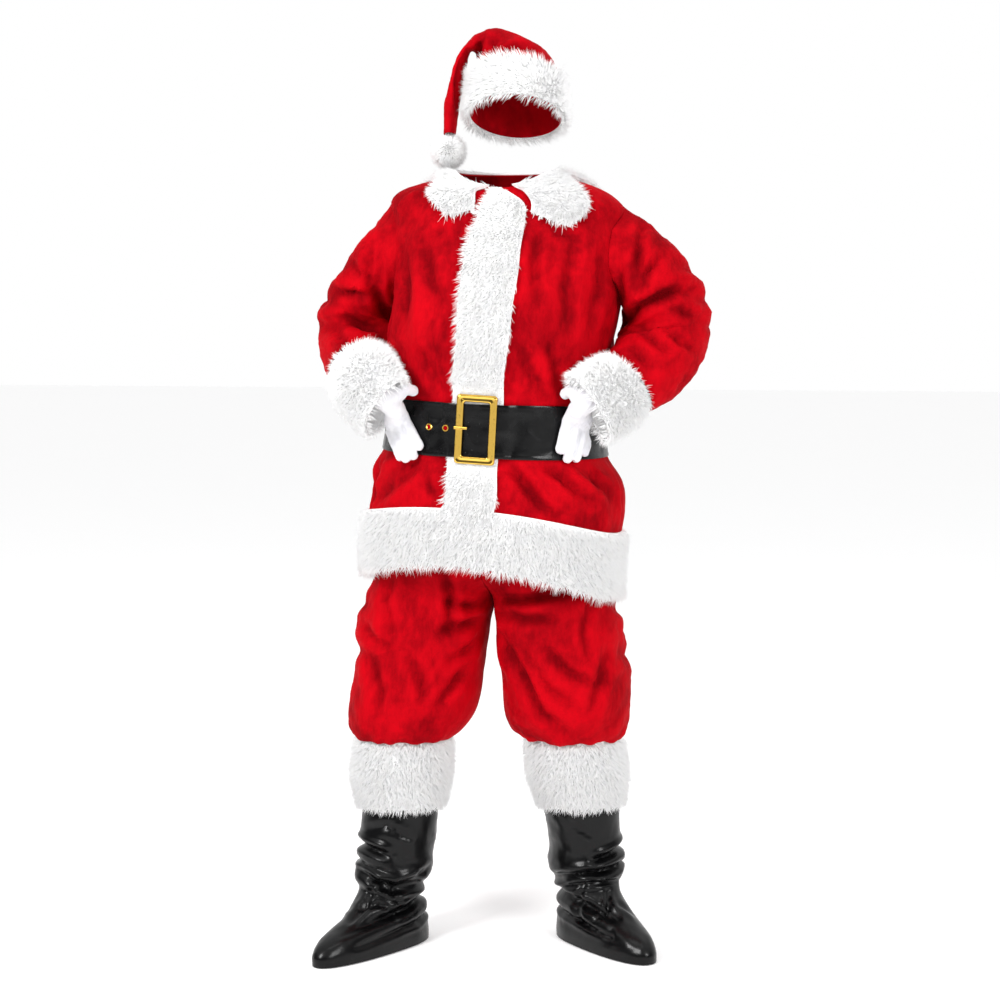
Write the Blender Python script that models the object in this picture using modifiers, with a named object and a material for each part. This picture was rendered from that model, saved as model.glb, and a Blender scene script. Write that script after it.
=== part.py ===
# Santa suit in its worn form: coat, belt, trousers, hat, gloves and boot covers, all hollow.
# Metres, +Z up, the front faces -Y, and heights in the tables are above the floor.
# Everything hangs from one empty at the shoulders, which brings that point to the origin.
import math

import bmesh
import bpy
import numpy as np
from mathutils import Matrix, Vector

HELD_X = 0.020
HELD_HEIGHT = 1.450

SEAM = 0.0003
PLUSH_WALL = 0.0025
VINYL_WALL = 0.0020
KNIT_WALL = 0.0015
PILE = 0.014
SECTION_SQUARENESS = 2.3

WAIST_LOW = 0.963
WAIST_HIGH = 1.063
BELT_WALL = 0.0030
BELT_CLEAR = 0.0010
# Over the front band the belt steps out; the step begins this far past the band, in radians.
BELT_STEP_PAST = 0.12
BELT_STEP_LENGTH = 0.09
BELT_STEP_CLEAR = 0.0002
WAISTBAND_WALL = 0.004
WAISTBAND_TOP = 1.045
HEM_LOW = 0.714
HEM_HIGH = 0.832
BAND_PRESSED = 0.005
ARMHOLE_LOW = 1.245
ARMHOLE_HIGH = 1.440
ARMHOLE_CELLS = 8
ARMHOLE_CLEAR = 0.0009
NECK_HEIGHT = 1.494

BUCKLE_AT = 1.016
BUCKLE_WIDTH = 0.076
BUCKLE_HEIGHT = 0.128
BUCKLE_BAR = 0.014
BUCKLE_THICK = 0.005
BUCKLE_CORNER = 0.006
BUCKLE_WINDOW_CORNER = 0.004
BUCKLE_ROUNDING = 0.0012
BUCKLE_LIFT = 0.0022
PRONG_LENGTH = 0.024
PRONG_RADII = (0.0032, 0.0024)
EYELET_RADIUS = 0.0052
EYELET_RIM = 0.0014
EYELET_LIFT = 0.0010
EYELET_ANGLES = {"eyelet_inner": -12.9, "eyelet_outer": -22.7}

PLUSH_RED = (0.50, 0.004, 0.010)
PILE_WHITE = (0.86, 0.85, 0.84)
VINYL_BLACK = (0.012, 0.012, 0.013)
BRASS_YELLOW = (0.72, 0.50, 0.14)
KNIT_WHITE = (0.83, 0.83, 0.86)

COAT_COLUMNS = ("z", "x", "half", "front", "back", "tilt", "lift", "side", "open")
COAT_ROWS = (
    (0.700, -0.014, 0.240, 0.217, 0.165, -0.090, 0.050, 90, -1.4),
    (0.800, -0.012, 0.241, 0.218, 0.165, -0.080, 0.040, 90, -1.8),
    (0.870, 0.000, 0.241, 0.215, 0.158, -0.070, 0.030, 90, -2.4),
    (0.927, -0.002, 0.235, 0.205, 0.148, -0.055, 0.012, 90, -2.4),
    (0.960, -0.007, 0.215, 0.1975, 0.139, -0.035, 0.000, 90, -1.5),
    (1.010, -0.005, 0.208, 0.1965, 0.134, -0.035, 0.000, 90, 0.0),
    (1.063, -0.002, 0.209, 0.1990, 0.135, -0.035, 0.000, 90, 0.0),
    (1.110, 0.000, 0.213, 0.208, 0.141, -0.020, 0.000, 90, 0.0),
    (1.190, 0.006, 0.2145, 0.213, 0.145, -0.010, 0.000, 90, 1.0),
    (1.245, 0.016, 0.216, 0.203, 0.146, 0.000, 0.000, 90, -1.0),
    (1.300, 0.018, 0.219, 0.188, 0.145, 0.000, 0.000, 68, 0.0),
    (1.350, 0.019, 0.222, 0.168, 0.140, -0.020, 0.000, 64, 0.5),
    (1.400, 0.018, 0.222, 0.138, 0.130, -0.035, 0.000, 69, 2.5),
    (1.440, 0.014, 0.220, 0.108, 0.112, -0.035, -0.004, 90, 3.0),
    (1.464, 0.008, 0.186, 0.096, 0.101, -0.015, -0.012, 90, 2.0),
    (1.481, 0.010, 0.131, 0.087, 0.089, -0.005, -0.024, 90, 0.0),
    (1.494, 0.012, 0.088, 0.079, 0.075, 0.000, -0.032, 90, 0.0),
)
SKIRT_HEIGHTS = (HEM_LOW, 0.753, 0.793, HEM_HIGH, 0.866, 0.900, 0.932)
BELT_HEIGHTS = (WAIST_LOW, 0.988, 1.013, 1.038, WAIST_HIGH)
COAT_HEIGHTS = SKIRT_HEIGHTS + BELT_HEIGHTS + (1.100, 1.145, 1.195)
YOKE_HEIGHTS = (1.452, 1.464, 1.474, 1.484)
FRONT_CELLS = 8
BACK_CELLS = 14

# A fold is a soft valley between two places on the coat: angle from the front in degrees and height.
FOLD_COLUMNS = ("angle_a", "height_a", "angle_b", "height_b", "width", "depth")
COAT_FOLDS = (
    (-62, 0.905, -30, 0.945, 0.014, 0.006),
    (-75, 0.880, -58, 0.935, 0.012, 0.005),
    (10, 0.948, 24, 0.890, 0.014, 0.007),
    (34, 0.945, 50, 0.870, 0.014, 0.006),
    (60, 0.940, 72, 0.880, 0.012, 0.005),
    (-60, 1.300, -48, 1.220, 0.014, 0.006),
    (58, 1.290, 50, 1.215, 0.014, 0.006),
    (-80, 1.150, -40, 1.095, 0.014, 0.005),
    (80, 1.140, 45, 1.090, 0.014, 0.005),
    (130, 0.945, 142, 0.870, 0.014, 0.006),
    (170, 0.948, 176, 0.880, 0.013, 0.006),
    (215, 0.945, 203, 0.875, 0.014, 0.006),
    (120, 1.300, 140, 1.200, 0.016, 0.006),
    (240, 1.300, 220, 1.200, 0.016, 0.006),
    (150, 1.110, 205, 1.085, 0.014, 0.005),
)

BAND_COLUMNS = ("z", "half_width", "pile")
BAND_ROWS = (
    (0.700, 0.046, 0.014),
    (0.905, 0.047, 0.012),
    (0.937, 0.047, 0.005),
    (1.092, 0.047, 0.005),
    (1.118, 0.047, 0.012),
    (1.390, 0.046, 0.012),
    (1.430, 0.040, 0.011),
    (1.465, 0.018, 0.008),
    (1.494, 0.006, 0.006),
)

# Collar edge by angle from the front: the height on the coat that its outer edge reaches.
COLLAR_COLUMNS = ("angle", "edge")
COLLAR_EDGE = (
    (-180, 1.440),
    (-130, 1.455),
    (-90, 1.482),
    (-55, 1.479),
    (-38, 1.464),
    (-29, 1.430),
    (-20, 1.407),
    (-9, 1.417),
    (12, 1.418),
    (24, 1.402),
    (35, 1.394),
    (42, 1.414),
    (49, 1.454),
    (62, 1.476),
    (90, 1.484),
    (130, 1.455),
    (180, 1.440),
)
COLLAR_ANGLES = (20, 25, 30, 35, 39, 44, 50, 60, 74, 90, 106, 121, 136, 151, 166)
COLLAR_FRONT_LEFT = 14
COLLAR_FRONT_RIGHT = 8
COLLAR_CLEAR = 0.0028

# Sleeve sections: the outer point, the point at the crook side, and the reach across
# that line towards the body and away from it.
SECTION_COLUMNS = ("ox", "oy", "oz", "ix", "iy", "iz", "near", "far")
# The cuffs end on a slant: the side towards the body is drawn back along the arm.
CUFF_SLANT = 0.028
CUFF_BACK = 0.008
SLEEVE_SECTIONS = {
    "right": (
        (-0.236, 0.000, 1.394, -0.222, 0.002, 1.237, 0.080, 0.082),
        (-0.266, 0.026, 1.346, -0.231, 0.002, 1.220, 0.078, 0.084),
        (-0.312, 0.068, 1.282, -0.230, -0.006, 1.205, 0.074, 0.086),
        (-0.340, 0.098, 1.216, -0.230, -0.018, 1.196, 0.070, 0.086),
        (-0.337, 0.090, 1.153, -0.229, -0.034, 1.187, 0.062, 0.082),
        (-0.326, 0.050, 1.103, -0.227, -0.055, 1.180, 0.048, 0.074),
        (-0.298, -0.020, 1.062, -0.218, -0.085, 1.173, 0.036, 0.066),
    ),
    "left": (
        (0.300, 0.000, 1.383, 0.243, 0.004, 1.225, 0.080, 0.084),
        (0.337, 0.030, 1.343, 0.243, 0.004, 1.208, 0.078, 0.086),
        (0.370, 0.070, 1.286, 0.241, -0.006, 1.196, 0.074, 0.088),
        (0.378, 0.100, 1.215, 0.238, -0.020, 1.187, 0.070, 0.088),
        (0.377, 0.085, 1.155, 0.233, -0.037, 1.178, 0.062, 0.084),
        (0.358, 0.045, 1.103, 0.233, -0.054, 1.169, 0.050, 0.078),
        (0.325, 0.005, 1.064, 0.226, -0.072, 1.160, 0.044, 0.070),
        (0.280, -0.030, 1.040, 0.219, -0.092, 1.151, 0.040, 0.062),
    ),
}
CUFF_SECTIONS = {
    "right": (
        (-0.258, -0.120, 1.027, -0.166, -0.192, 1.150, 0.024, 0.060),
        (-0.205, -0.175, 0.997, -0.126, -0.250, 1.108, 0.026, 0.054),
    ),
    "left": (
        (0.255, -0.092, 1.008, 0.198, -0.158, 1.142, 0.026, 0.058),
        (0.224, -0.152, 0.988, 0.163, -0.228, 1.116, 0.028, 0.054),
    ),
}
SLEEVE_ROUND = 2 * ARMHOLE_CELLS
SLEEVE_CELLS = 14
CUFF_CELLS = 3
CUFF_END_PILE = 0.008

# Trouser leg sections, top to bottom, for the wearer's right and left leg.
LEG_COLUMNS = ("z", "x", "y", "half", "front", "back", "hip")
LEG_SECTIONS = {
    "right": (
        (1.000, -0.085, 0.000, 0.100, 0.100, 0.100, 1.00),
        (0.900, -0.100, 0.000, 0.110, 0.110, 0.110, 1.00),
        (0.790, -0.116, 0.000, 0.112, 0.120, 0.115, 1.00),
        (0.735, -0.127, 0.000, 0.116, 0.126, 0.120, 0.80),
        (0.680, -0.138, 0.000, 0.127, 0.130, 0.122, 0.12),
        (0.632, -0.149, 0.000, 0.1285, 0.130, 0.122, 0.00),
        (0.573, -0.154, -0.003, 0.1250, 0.130, 0.122, 0.00),
        (0.513, -0.162, -0.008, 0.1270, 0.130, 0.124, 0.00),
        (0.460, -0.170, -0.012, 0.1240, 0.126, 0.122, 0.00),
        (0.425, -0.180, -0.018, 0.1110, 0.114, 0.108, 0.00),
        (0.408, -0.186, -0.020, 0.0940, 0.096, 0.092, 0.00),
        (0.416, -0.188, -0.020, 0.0820, 0.084, 0.082, 0.00),
    ),
    "left": (
        (1.000, 0.065, 0.000, 0.100, 0.100, 0.100, 1.00),
        (0.900, 0.080, 0.000, 0.110, 0.110, 0.110, 1.00),
        (0.790, 0.096, 0.000, 0.112, 0.120, 0.115, 1.00),
        (0.735, 0.102, 0.000, 0.112, 0.126, 0.120, 0.80),
        (0.680, 0.107, 0.000, 0.1160, 0.130, 0.122, 0.12),
        (0.632, 0.116, 0.000, 0.1200, 0.130, 0.122, 0.00),
        (0.573, 0.121, 0.010, 0.1240, 0.130, 0.122, 0.00),
        (0.513, 0.127, 0.020, 0.1220, 0.130, 0.124, 0.00),
        (0.460, 0.128, 0.028, 0.1210, 0.126, 0.122, 0.00),
        (0.425, 0.132, 0.034, 0.1120, 0.114, 0.108, 0.00),
        (0.408, 0.136, 0.036, 0.0940, 0.096, 0.092, 0.00),
        (0.416, 0.138, 0.037, 0.0820, 0.084, 0.082, 0.00),
    ),
}
HIP_COLUMNS = ("z", "x", "half", "front", "back")
HIP_ROWS = (
    (0.640, -0.011, 0.227, 0.150, 0.140),
    (0.740, -0.011, 0.227, 0.165, 0.148),
    (0.860, -0.004, 0.222, 0.175, 0.142),
    (0.950, -0.005, 0.201, 0.184, 0.128),
    (1.010, -0.004, 0.2025, 0.190, 0.1295),
    (1.060, -0.003, 0.2030, 0.191, 0.1300),
)
LEG_AROUND = 16
LEG_CELLS = 16
# Radii that turn the seams' gaps into angles.
LEG_TYPICAL_RADIUS = 0.12
HIP_TYPICAL_RADIUS = 0.20

LEG_CUFF_COLUMNS = ("z", "x", "y", "half", "deep", "pile")
LEG_CUFF_SECTIONS = {
    "right": (
        (0.4082, -0.187, -0.020, 0.0950, 0.0960, 0.014),
        (0.372, -0.190, -0.020, 0.0985, 0.1000, 0.014),
        (0.330, -0.192, -0.021, 0.0985, 0.1000, 0.014),
        (0.300, -0.192, -0.022, 0.0930, 0.0960, 0.013),
        (0.278, -0.192, -0.023, 0.0880, 0.0910, 0.010),
    ),
    "left": (
        (0.4082, 0.139, 0.037, 0.0950, 0.0960, 0.014),
        (0.372, 0.143, 0.040, 0.0980, 0.1000, 0.014),
        (0.330, 0.146, 0.044, 0.0980, 0.1000, 0.014),
        (0.300, 0.149, 0.047, 0.0920, 0.0950, 0.013),
        (0.278, 0.151, 0.049, 0.0880, 0.0900, 0.010),
    ),
}

# Boot cover sections, floor to top: the middle of the leg, half the width, and the reach
# to the heel and to the toe along the foot.
BOOT_COLUMNS = ("z", "x", "y", "half", "heel", "toe")
BOOT_SECTIONS = {
    "right": (
        (0.002, -0.208, -0.050, 0.054, 0.092, 0.215),
        (0.022, -0.208, -0.050, 0.055, 0.092, 0.214),
        (0.042, -0.208, -0.048, 0.053, 0.089, 0.196),
        (0.060, -0.208, -0.045, 0.051, 0.084, 0.150),
        (0.080, -0.209, -0.040, 0.050, 0.077, 0.110),
        (0.100, -0.210, -0.036, 0.051, 0.070, 0.084),
        (0.116, -0.210, -0.033, 0.056, 0.066, 0.072),
        (0.130, -0.208, -0.031, 0.068, 0.072, 0.076),
        (0.148, -0.205, -0.030, 0.072, 0.076, 0.078),
        (0.175, -0.202, -0.029, 0.069, 0.074, 0.075),
        (0.210, -0.198, -0.027, 0.071, 0.076, 0.076),
        (0.262, -0.194, -0.024, 0.0718, 0.0732, 0.0732),
        (0.385, -0.189, -0.020, 0.0765, 0.0770, 0.0770),
    ),
    "left": (
        (0.002, 0.176, 0.046, 0.056, 0.092, 0.200),
        (0.022, 0.176, 0.046, 0.057, 0.092, 0.199),
        (0.042, 0.175, 0.048, 0.055, 0.089, 0.182),
        (0.060, 0.173, 0.051, 0.053, 0.084, 0.146),
        (0.080, 0.170, 0.055, 0.052, 0.077, 0.110),
        (0.102, 0.163, 0.058, 0.053, 0.070, 0.084),
        (0.122, 0.162, 0.060, 0.058, 0.066, 0.073),
        (0.140, 0.161, 0.060, 0.069, 0.072, 0.077),
        (0.158, 0.160, 0.059, 0.071, 0.075, 0.078),
        (0.185, 0.159, 0.057, 0.067, 0.073, 0.075),
        (0.215, 0.157, 0.055, 0.068, 0.074, 0.075),
        (0.262, 0.153, 0.051, 0.0722, 0.0745, 0.0745),
        (0.385, 0.141, 0.038, 0.0765, 0.0770, 0.0770),
    ),
}
FOOT_TURN = {"right": math.radians(-27), "left": math.radians(42)}
BOOT_AROUND = 16

# Hat sections from the rim up over the fold and down the tail: the side point that the
# tail hangs from, the opposite point, and the reach to the front and to the back.
HAT_SECTIONS = (
    (-0.056, 0.000, 1.598, 0.117, 0.000, 1.602, 0.100, 0.100),
    (-0.056, 0.026, 1.673, 0.108, 0.026, 1.675, 0.092, 0.094),
    (-0.054, 0.034, 1.696, 0.100, 0.034, 1.700, 0.084, 0.084),
    (-0.052, 0.036, 1.711, 0.074, 0.036, 1.731, 0.070, 0.068),
    (-0.052, 0.034, 1.720, 0.028, 0.034, 1.756, 0.054, 0.050),
    (-0.055, 0.030, 1.725, -0.020, 0.030, 1.770, 0.044, 0.040),
    (-0.060, 0.026, 1.726, -0.054, 0.026, 1.755, 0.040, 0.036),
    (-0.065, 0.022, 1.720, -0.074, 0.022, 1.733, 0.038, 0.034),
    (-0.069, 0.016, 1.700, -0.086, 0.016, 1.703, 0.036, 0.034),
    (-0.074, 0.008, 1.668, -0.096, 0.008, 1.668, 0.034, 0.032),
    (-0.080, 0.000, 1.622, -0.106, 0.000, 1.622, 0.030, 0.030),
    (-0.086, -0.004, 1.5692, -0.108, -0.004, 1.5672, 0.022, 0.022),
)
HAT_AROUND = 16
HAT_CELLS = 19
HAT_BAND_WIDTH = 0.074
POMPOM_AT = (-0.099, -0.004, 1.5355)
POMPOM_RADIUS = 0.020
POMPOM_REACH = 0.0355

# Gloves: each finger from its knuckle to its tip, the thumb and the wrist, with radii.
FINGER_COLUMNS = ("ax", "ay", "az", "a_radius", "bx", "by", "bz", "b_radius")
FINGERS = {
    "right": (
        (-0.1458, -0.1750, 1.030, 0.0100, -0.1158, -0.1905, 0.984, 0.0088),
        (-0.1598, -0.1660, 1.024, 0.0102, -0.1278, -0.1865, 0.966, 0.0088),
        (-0.1738, -0.1550, 1.019, 0.0098, -0.1428, -0.1810, 0.960, 0.0085),
        (-0.1858, -0.1440, 1.018, 0.0090, -0.1558, -0.1730, 0.962, 0.0080),
    ),
    "left": (
        (0.1572, -0.1611, 1.029, 0.0100, 0.1452, -0.1661, 0.979, 0.0088),
        (0.1712, -0.1481, 1.022, 0.0102, 0.1572, -0.1566, 0.962, 0.0088),
        (0.1852, -0.1341, 1.019, 0.0098, 0.1712, -0.1421, 0.962, 0.0085),
        (0.1962, -0.1191, 1.021, 0.0090, 0.1842, -0.1251, 0.971, 0.0080),
    ),
}
# Points from the inside of the cuff over its edge to the back of the hand.
WRISTS = {
    "right": ((-0.188, -0.205, 1.084, 0.021), (-0.168, -0.2255, 1.0705, 0.021), (-0.157, -0.202, 1.051, 0.017)),
    "left": ((0.214, -0.173, 1.081, 0.021), (0.199, -0.1985, 1.071, 0.021), (0.180, -0.182, 1.052, 0.017)),
}
THUMBS = {
    "right": ((-0.160, -0.225, 1.071, 0.016), (-0.136, -0.209, 1.090, 0.0105), (-0.126, -0.1915, 1.0855, 0.0095)),
    "left": ((0.189, -0.199, 1.072, 0.016), (0.168, -0.187, 1.088, 0.0105), (0.155, -0.1715, 1.0810, 0.0095)),
}
GLOVE_GRAIN = 0.0032
GLOVE_FACES = 400


def columns(names, rows):
    # The rows of a table as one array for each named column.
    return dict(zip(names, np.array(rows, float).T))


def smooth(at_rows, values, at):
    # Cubic curve through the rows, with slopes from each row's neighbours.
    slopes = np.gradient(values, at_rows, axis=0)
    k = np.clip(np.searchsorted(at_rows, at, side="right") - 1, 0, len(at_rows) - 2)
    span = at_rows[k + 1] - at_rows[k]
    t = (at - at_rows[k]) / span
    if np.ndim(values) > 1:
        extra = (1,) * (np.ndim(values) - 1)
        t = t.reshape(t.shape + extra)
        span = span.reshape(span.shape + extra)
    rise = t * t * (3 - 2 * t)
    curve = (1 - rise) * values[k] + rise * values[k + 1]
    return curve + span * (t * (1 - t) ** 2 * slopes[k] - t * t * (1 - t) * slopes[k + 1])


def signed_power(value, exponent):
    return np.sign(value) * np.abs(value) ** exponent


def oval(angle, half, front, back, squareness=SECTION_SQUARENESS):
    # Squared oval: angle 0 is the front (-Y), a quarter turn is +X.
    x = half * signed_power(np.sin(angle), 2 / squareness)
    forward = signed_power(np.cos(angle), 2 / squareness)
    return x, -np.where(forward > 0, front, back) * forward


def fold_depth(angle, z, folds, radius):
    # Sum of the valleys: each fades with the distance from its line on the flattened coat.
    table = columns(FOLD_COLUMNS, folds)
    total = np.zeros(np.shape(angle))
    turned = np.mod(np.degrees(angle) + 90, 360) - 90
    for k in range(len(folds)):
        a = np.array([math.radians(table["angle_a"][k]) * radius, table["height_a"][k]])
        b = np.array([math.radians(table["angle_b"][k]) * radius, table["height_b"][k]])
        p = np.stack([np.radians(turned) * radius, z], -1)
        share = np.clip(((p - a) @ (b - a)) / ((b - a) @ (b - a)), 0, 1)
        distance = np.linalg.norm(p - a - share[..., None] * (b - a), axis=-1)
        taper = 0.35 + 0.65 * np.sin(np.pi * np.clip(0.15 + 0.7 * share, 0, 1))
        total += table["depth"][k] * taper * np.exp(-((distance / table["width"][k]) ** 2))
    return total


COAT = columns(COAT_COLUMNS, COAT_ROWS)
FRONT_BAND = columns(BAND_COLUMNS, BAND_ROWS)


def coat_value(name, z):
    return smooth(COAT["z"], COAT[name], z)


def coat_form(angle, z):
    # The coat's outer face: a squared oval at each height, tilted across and lifted in front.
    x, y = oval(angle, coat_value("half", z), coat_value("front", z), coat_value("back", z))
    lift = coat_value("lift", z) * np.clip(np.cos(angle), 0, 1) ** 2
    return np.stack([coat_value("x", z) + x, y, z + coat_value("tilt", z) * x + lift], -1)


def coat_at(angle, z, out=0.0, folds=True):
    # A point of the coat moved out along the surface's own direction.
    angle, z = np.broadcast_arrays(np.asarray(angle, float), np.asarray(z, float))
    step_angle, step_z = 0.02, 0.004
    around = coat_form(angle + step_angle, z) - coat_form(angle - step_angle, z)
    upward = coat_form(angle, np.minimum(z + step_z, NECK_HEIGHT))
    upward = upward - coat_form(angle, z - step_z)
    normal = np.cross(around, upward)
    normal /= np.linalg.norm(normal, axis=-1, keepdims=True)
    move = np.broadcast_to(np.asarray(out, float), angle.shape)
    if folds:
        move = move - fold_depth(angle, z, COAT_FOLDS, 0.21)
    return coat_form(angle, z) + normal * move[..., None]


def angle_of_width(half_width, z):
    # The angle at which a ring is this far from its middle, measured across the front.
    share = np.clip(half_width / coat_value("half", z), 0, 1)
    return np.arcsin(share ** (SECTION_SQUARENESS / 2))


def make_material(name, color, roughness, metallic=0.0):
    material = bpy.data.materials.new(name)
    material.use_nodes = True
    shader = material.node_tree.nodes["Principled BSDF"]
    shader.inputs["Base Color"].default_value = (*color, 1.0)
    shader.inputs["Roughness"].default_value = roughness
    shader.inputs["Metallic"].default_value = metallic
    material.diffuse_color = (*color, 1.0)
    return material


def place(piece, material):
    # A finished object joins the suit, hangs from the shoulders and takes its material.
    suit.objects.link(piece)
    piece.parent = shoulders
    piece.data.materials.clear()
    piece.data.materials.append(material)
    return piece


def shade(mesh, angle=40):
    mesh.shade_smooth()
    mesh.set_sharp_from_angle(angle=math.radians(angle))


def wall(name, outer, inner, material, loop=False):
    # Closed wall between two grids of the same size; a loop joins the last column to the first.
    rows, cols = outer.shape[:2]
    points = np.concatenate([outer.reshape(-1, 3), inner.reshape(-1, 3)])
    index = np.arange(rows * cols).reshape(rows, cols)
    if loop:
        index = np.concatenate([index, index[:, :1]], axis=1)
    front = halved_quads(index, points)
    far = rows * cols
    faces = front.tolist() + (front[:, ::-1] + far).tolist()
    for edge, turned in ((index[0], True), (index[-1], False)):
        faces += rim_faces(edge, far, turned).tolist()
    if not loop:
        for edge, turned in ((index[:, 0], False), (index[:, -1], True)):
            faces += rim_faces(edge, far, turned).tolist()
    mesh = bpy.data.meshes.new(name)
    mesh.from_pydata(points.tolist(), [], faces)
    bm = bmesh.new()
    bm.from_mesh(mesh)
    if bm.calc_volume(signed=True) < 0:
        bmesh.ops.reverse_faces(bm, faces=bm.faces)
    bm.to_mesh(mesh)
    bm.free()
    shade(mesh)
    return place(bpy.data.objects.new(name, mesh), material)


def halved_quads(index, points):
    # Each cell cut along its shorter diagonal, so that both faces of a wall bend along one line.
    low, high = index[:-1], index[1:]
    a, b = low[:, :-1].ravel(), low[:, 1:].ravel()
    c, d = high[:, 1:].ravel(), high[:, :-1].ravel()
    first = np.linalg.norm(points[a] - points[c], axis=1) <= np.linalg.norm(points[b] - points[d], axis=1)
    one = np.stack([a, b, np.where(first, c, d)], -1)
    other = np.stack([np.where(first, a, b), c, d], -1)
    return np.concatenate([one, other])


def rim_faces(edge, far, turned):
    quads = np.stack([edge[:-1], edge[1:], edge[1:] + far, edge[:-1] + far], -1)
    return quads if not turned else quads[:, ::-1]


def tube_normals(points):
    # Directions out of a looped grid, from its neighbours along and around.
    around = np.roll(points, -1, axis=1) - np.roll(points, 1, axis=1)
    along = np.gradient(points, axis=0)
    normal = np.cross(around, along)
    normal /= np.linalg.norm(normal, axis=-1, keepdims=True)
    middle = points.mean(axis=1, keepdims=True)
    outward = ((points - middle) * normal).sum()
    return normal if outward > 0 else -normal


def sheet_normals(points, middle):
    # Directions out of an open grid, away from the middle point of each row.
    normal = np.cross(np.gradient(points, axis=1), np.gradient(points, axis=0))
    normal /= np.linalg.norm(normal, axis=-1, keepdims=True)
    outward = ((points - middle) * normal).sum()
    return normal if outward > 0 else -normal


def section_ring(outer, inner, along, near, far, side, count):
    # Oval through an outer and an inner point, reaching to either side of the line between.
    middle = (outer + inner) / 2
    arm = outer - middle
    across = np.cross(along, arm) * -side
    across /= np.linalg.norm(across)
    turn = np.linspace(0, 2 * math.pi, count, endpoint=False)
    reach = np.where(np.sin(turn) > 0, near, far) * np.sin(turn)
    return middle + arm * np.cos(turn)[:, None] + across * reach[:, None]


def section_rings(sections, side, count, start=None):
    # Rings of a table; the direction along comes from the middles of its neighbours.
    table = columns(SECTION_COLUMNS, sections)
    outer = np.stack([table["ox"], table["oy"], table["oz"]], -1)
    inner = np.stack([table["ix"], table["iy"], table["iz"]], -1)
    middles = (outer + inner) / 2
    if start is not None:
        middles = np.concatenate([start[None], middles])
    along = np.gradient(middles, axis=0)[len(middles) - len(outer):]
    along /= np.linalg.norm(along, axis=-1, keepdims=True)
    rings = []
    for k in range(len(outer)):
        rings.append(section_ring(outer[k], inner[k], along[k], table["near"][k], table["far"][k], side, count))
    return np.array(rings)


def resample(rings, cells):
    # Smooth tracks through the rings, cut into even cells along the middle line.
    middles = rings.mean(axis=1)
    steps = np.linalg.norm(np.diff(middles, axis=0), axis=1)
    spread = np.linalg.norm(np.diff(rings, axis=0), axis=-1).mean(axis=1)
    at = np.concatenate([[0], np.cumsum(steps + spread)])
    return smooth(at, rings, np.linspace(0, at[-1], cells + 1))


def coat_heights():
    arm = np.linspace(ARMHOLE_LOW, ARMHOLE_HIGH, ARMHOLE_CELLS + 1)
    return np.concatenate([COAT_HEIGHTS, arm, YOKE_HEIGHTS, [NECK_HEIGHT]])


def side_angle(z):
    # Where the front panel ends: the side seam, or the armhole's edge between its two heights.
    inside = (z > ARMHOLE_LOW + SEAM) & (z < ARMHOLE_HIGH - SEAM)
    return np.where(inside, np.radians(coat_value("side", z)), math.pi / 2)


def coat_panels(red):
    z = coat_heights()
    gap = SEAM / 2 / coat_value("half", z)
    side = side_angle(z)
    opening = np.radians(coat_value("open", z))
    edges = {
        "coat_front_right": (-side + gap, opening - gap, FRONT_CELLS),
        "coat_front_left": (opening + gap, side - gap, FRONT_CELLS),
        "coat_back": (math.pi - side + gap, math.pi + side - gap, BACK_CELLS),
    }
    for name, (start, stop, cells) in edges.items():
        share = np.linspace(0, 1, cells + 1)
        angle = start[:, None] + (stop - start)[:, None] * share
        height = np.repeat(z[:, None], cells + 1, axis=1)
        wall(name, coat_at(angle, height), coat_at(angle, height, -PLUSH_WALL), red)


def panel_angles(z):
    # The angles of all three panels' points below the armholes, from the opening all round.
    opening = np.radians(coat_value("open", z))[:, None]
    quarter = math.pi / 2
    front = np.linspace(0, 1, FRONT_CELLS + 1)
    back = np.linspace(0, 1, BACK_CELLS + 1)[1:-1]
    parts = (
        opening + (quarter - opening) * front,
        quarter + math.pi * back + 0 * opening,
        3 * quarter + (quarter + opening) * front,
    )
    return np.concatenate(parts, axis=1)


def drawn_in(rings, depth):
    # Each ring's points moved towards the ring's own middle.
    inward = rings.mean(axis=1, keepdims=True) - rings
    return rings + inward * depth / np.linalg.norm(inward, axis=-1, keepdims=True)


def armhole(side, inset):
    # The armhole's edge as a loop down the back and up the front, drawn in towards its middle.
    z = np.linspace(ARMHOLE_HIGH, ARMHOLE_LOW, ARMHOLE_CELLS + 1)
    edge = side_angle(z)
    edge[[0, -1]] = math.pi / 2
    angle = np.concatenate([math.pi - edge, edge[-2:0:-1]])
    height = np.concatenate([z, z[-2:0:-1]])
    return drawn_in(coat_at(side * angle, height)[None], inset)[0]


def sleeve(name, sections, side, red):
    first = armhole(side, ARMHOLE_CLEAR)
    rings = section_rings(sections, side, SLEEVE_ROUND, first.mean(axis=0))
    outer = resample(np.concatenate([first[None], rings]), SLEEVE_CELLS)
    inner = outer - tube_normals(outer) * PLUSH_WALL
    inner[0] = armhole(side, ARMHOLE_CLEAR + PLUSH_WALL)
    inner[-1] = drawn_in(outer[-1:], PLUSH_WALL)[0]
    wall(name, outer, inner, red, loop=True)
    return outer


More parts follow.
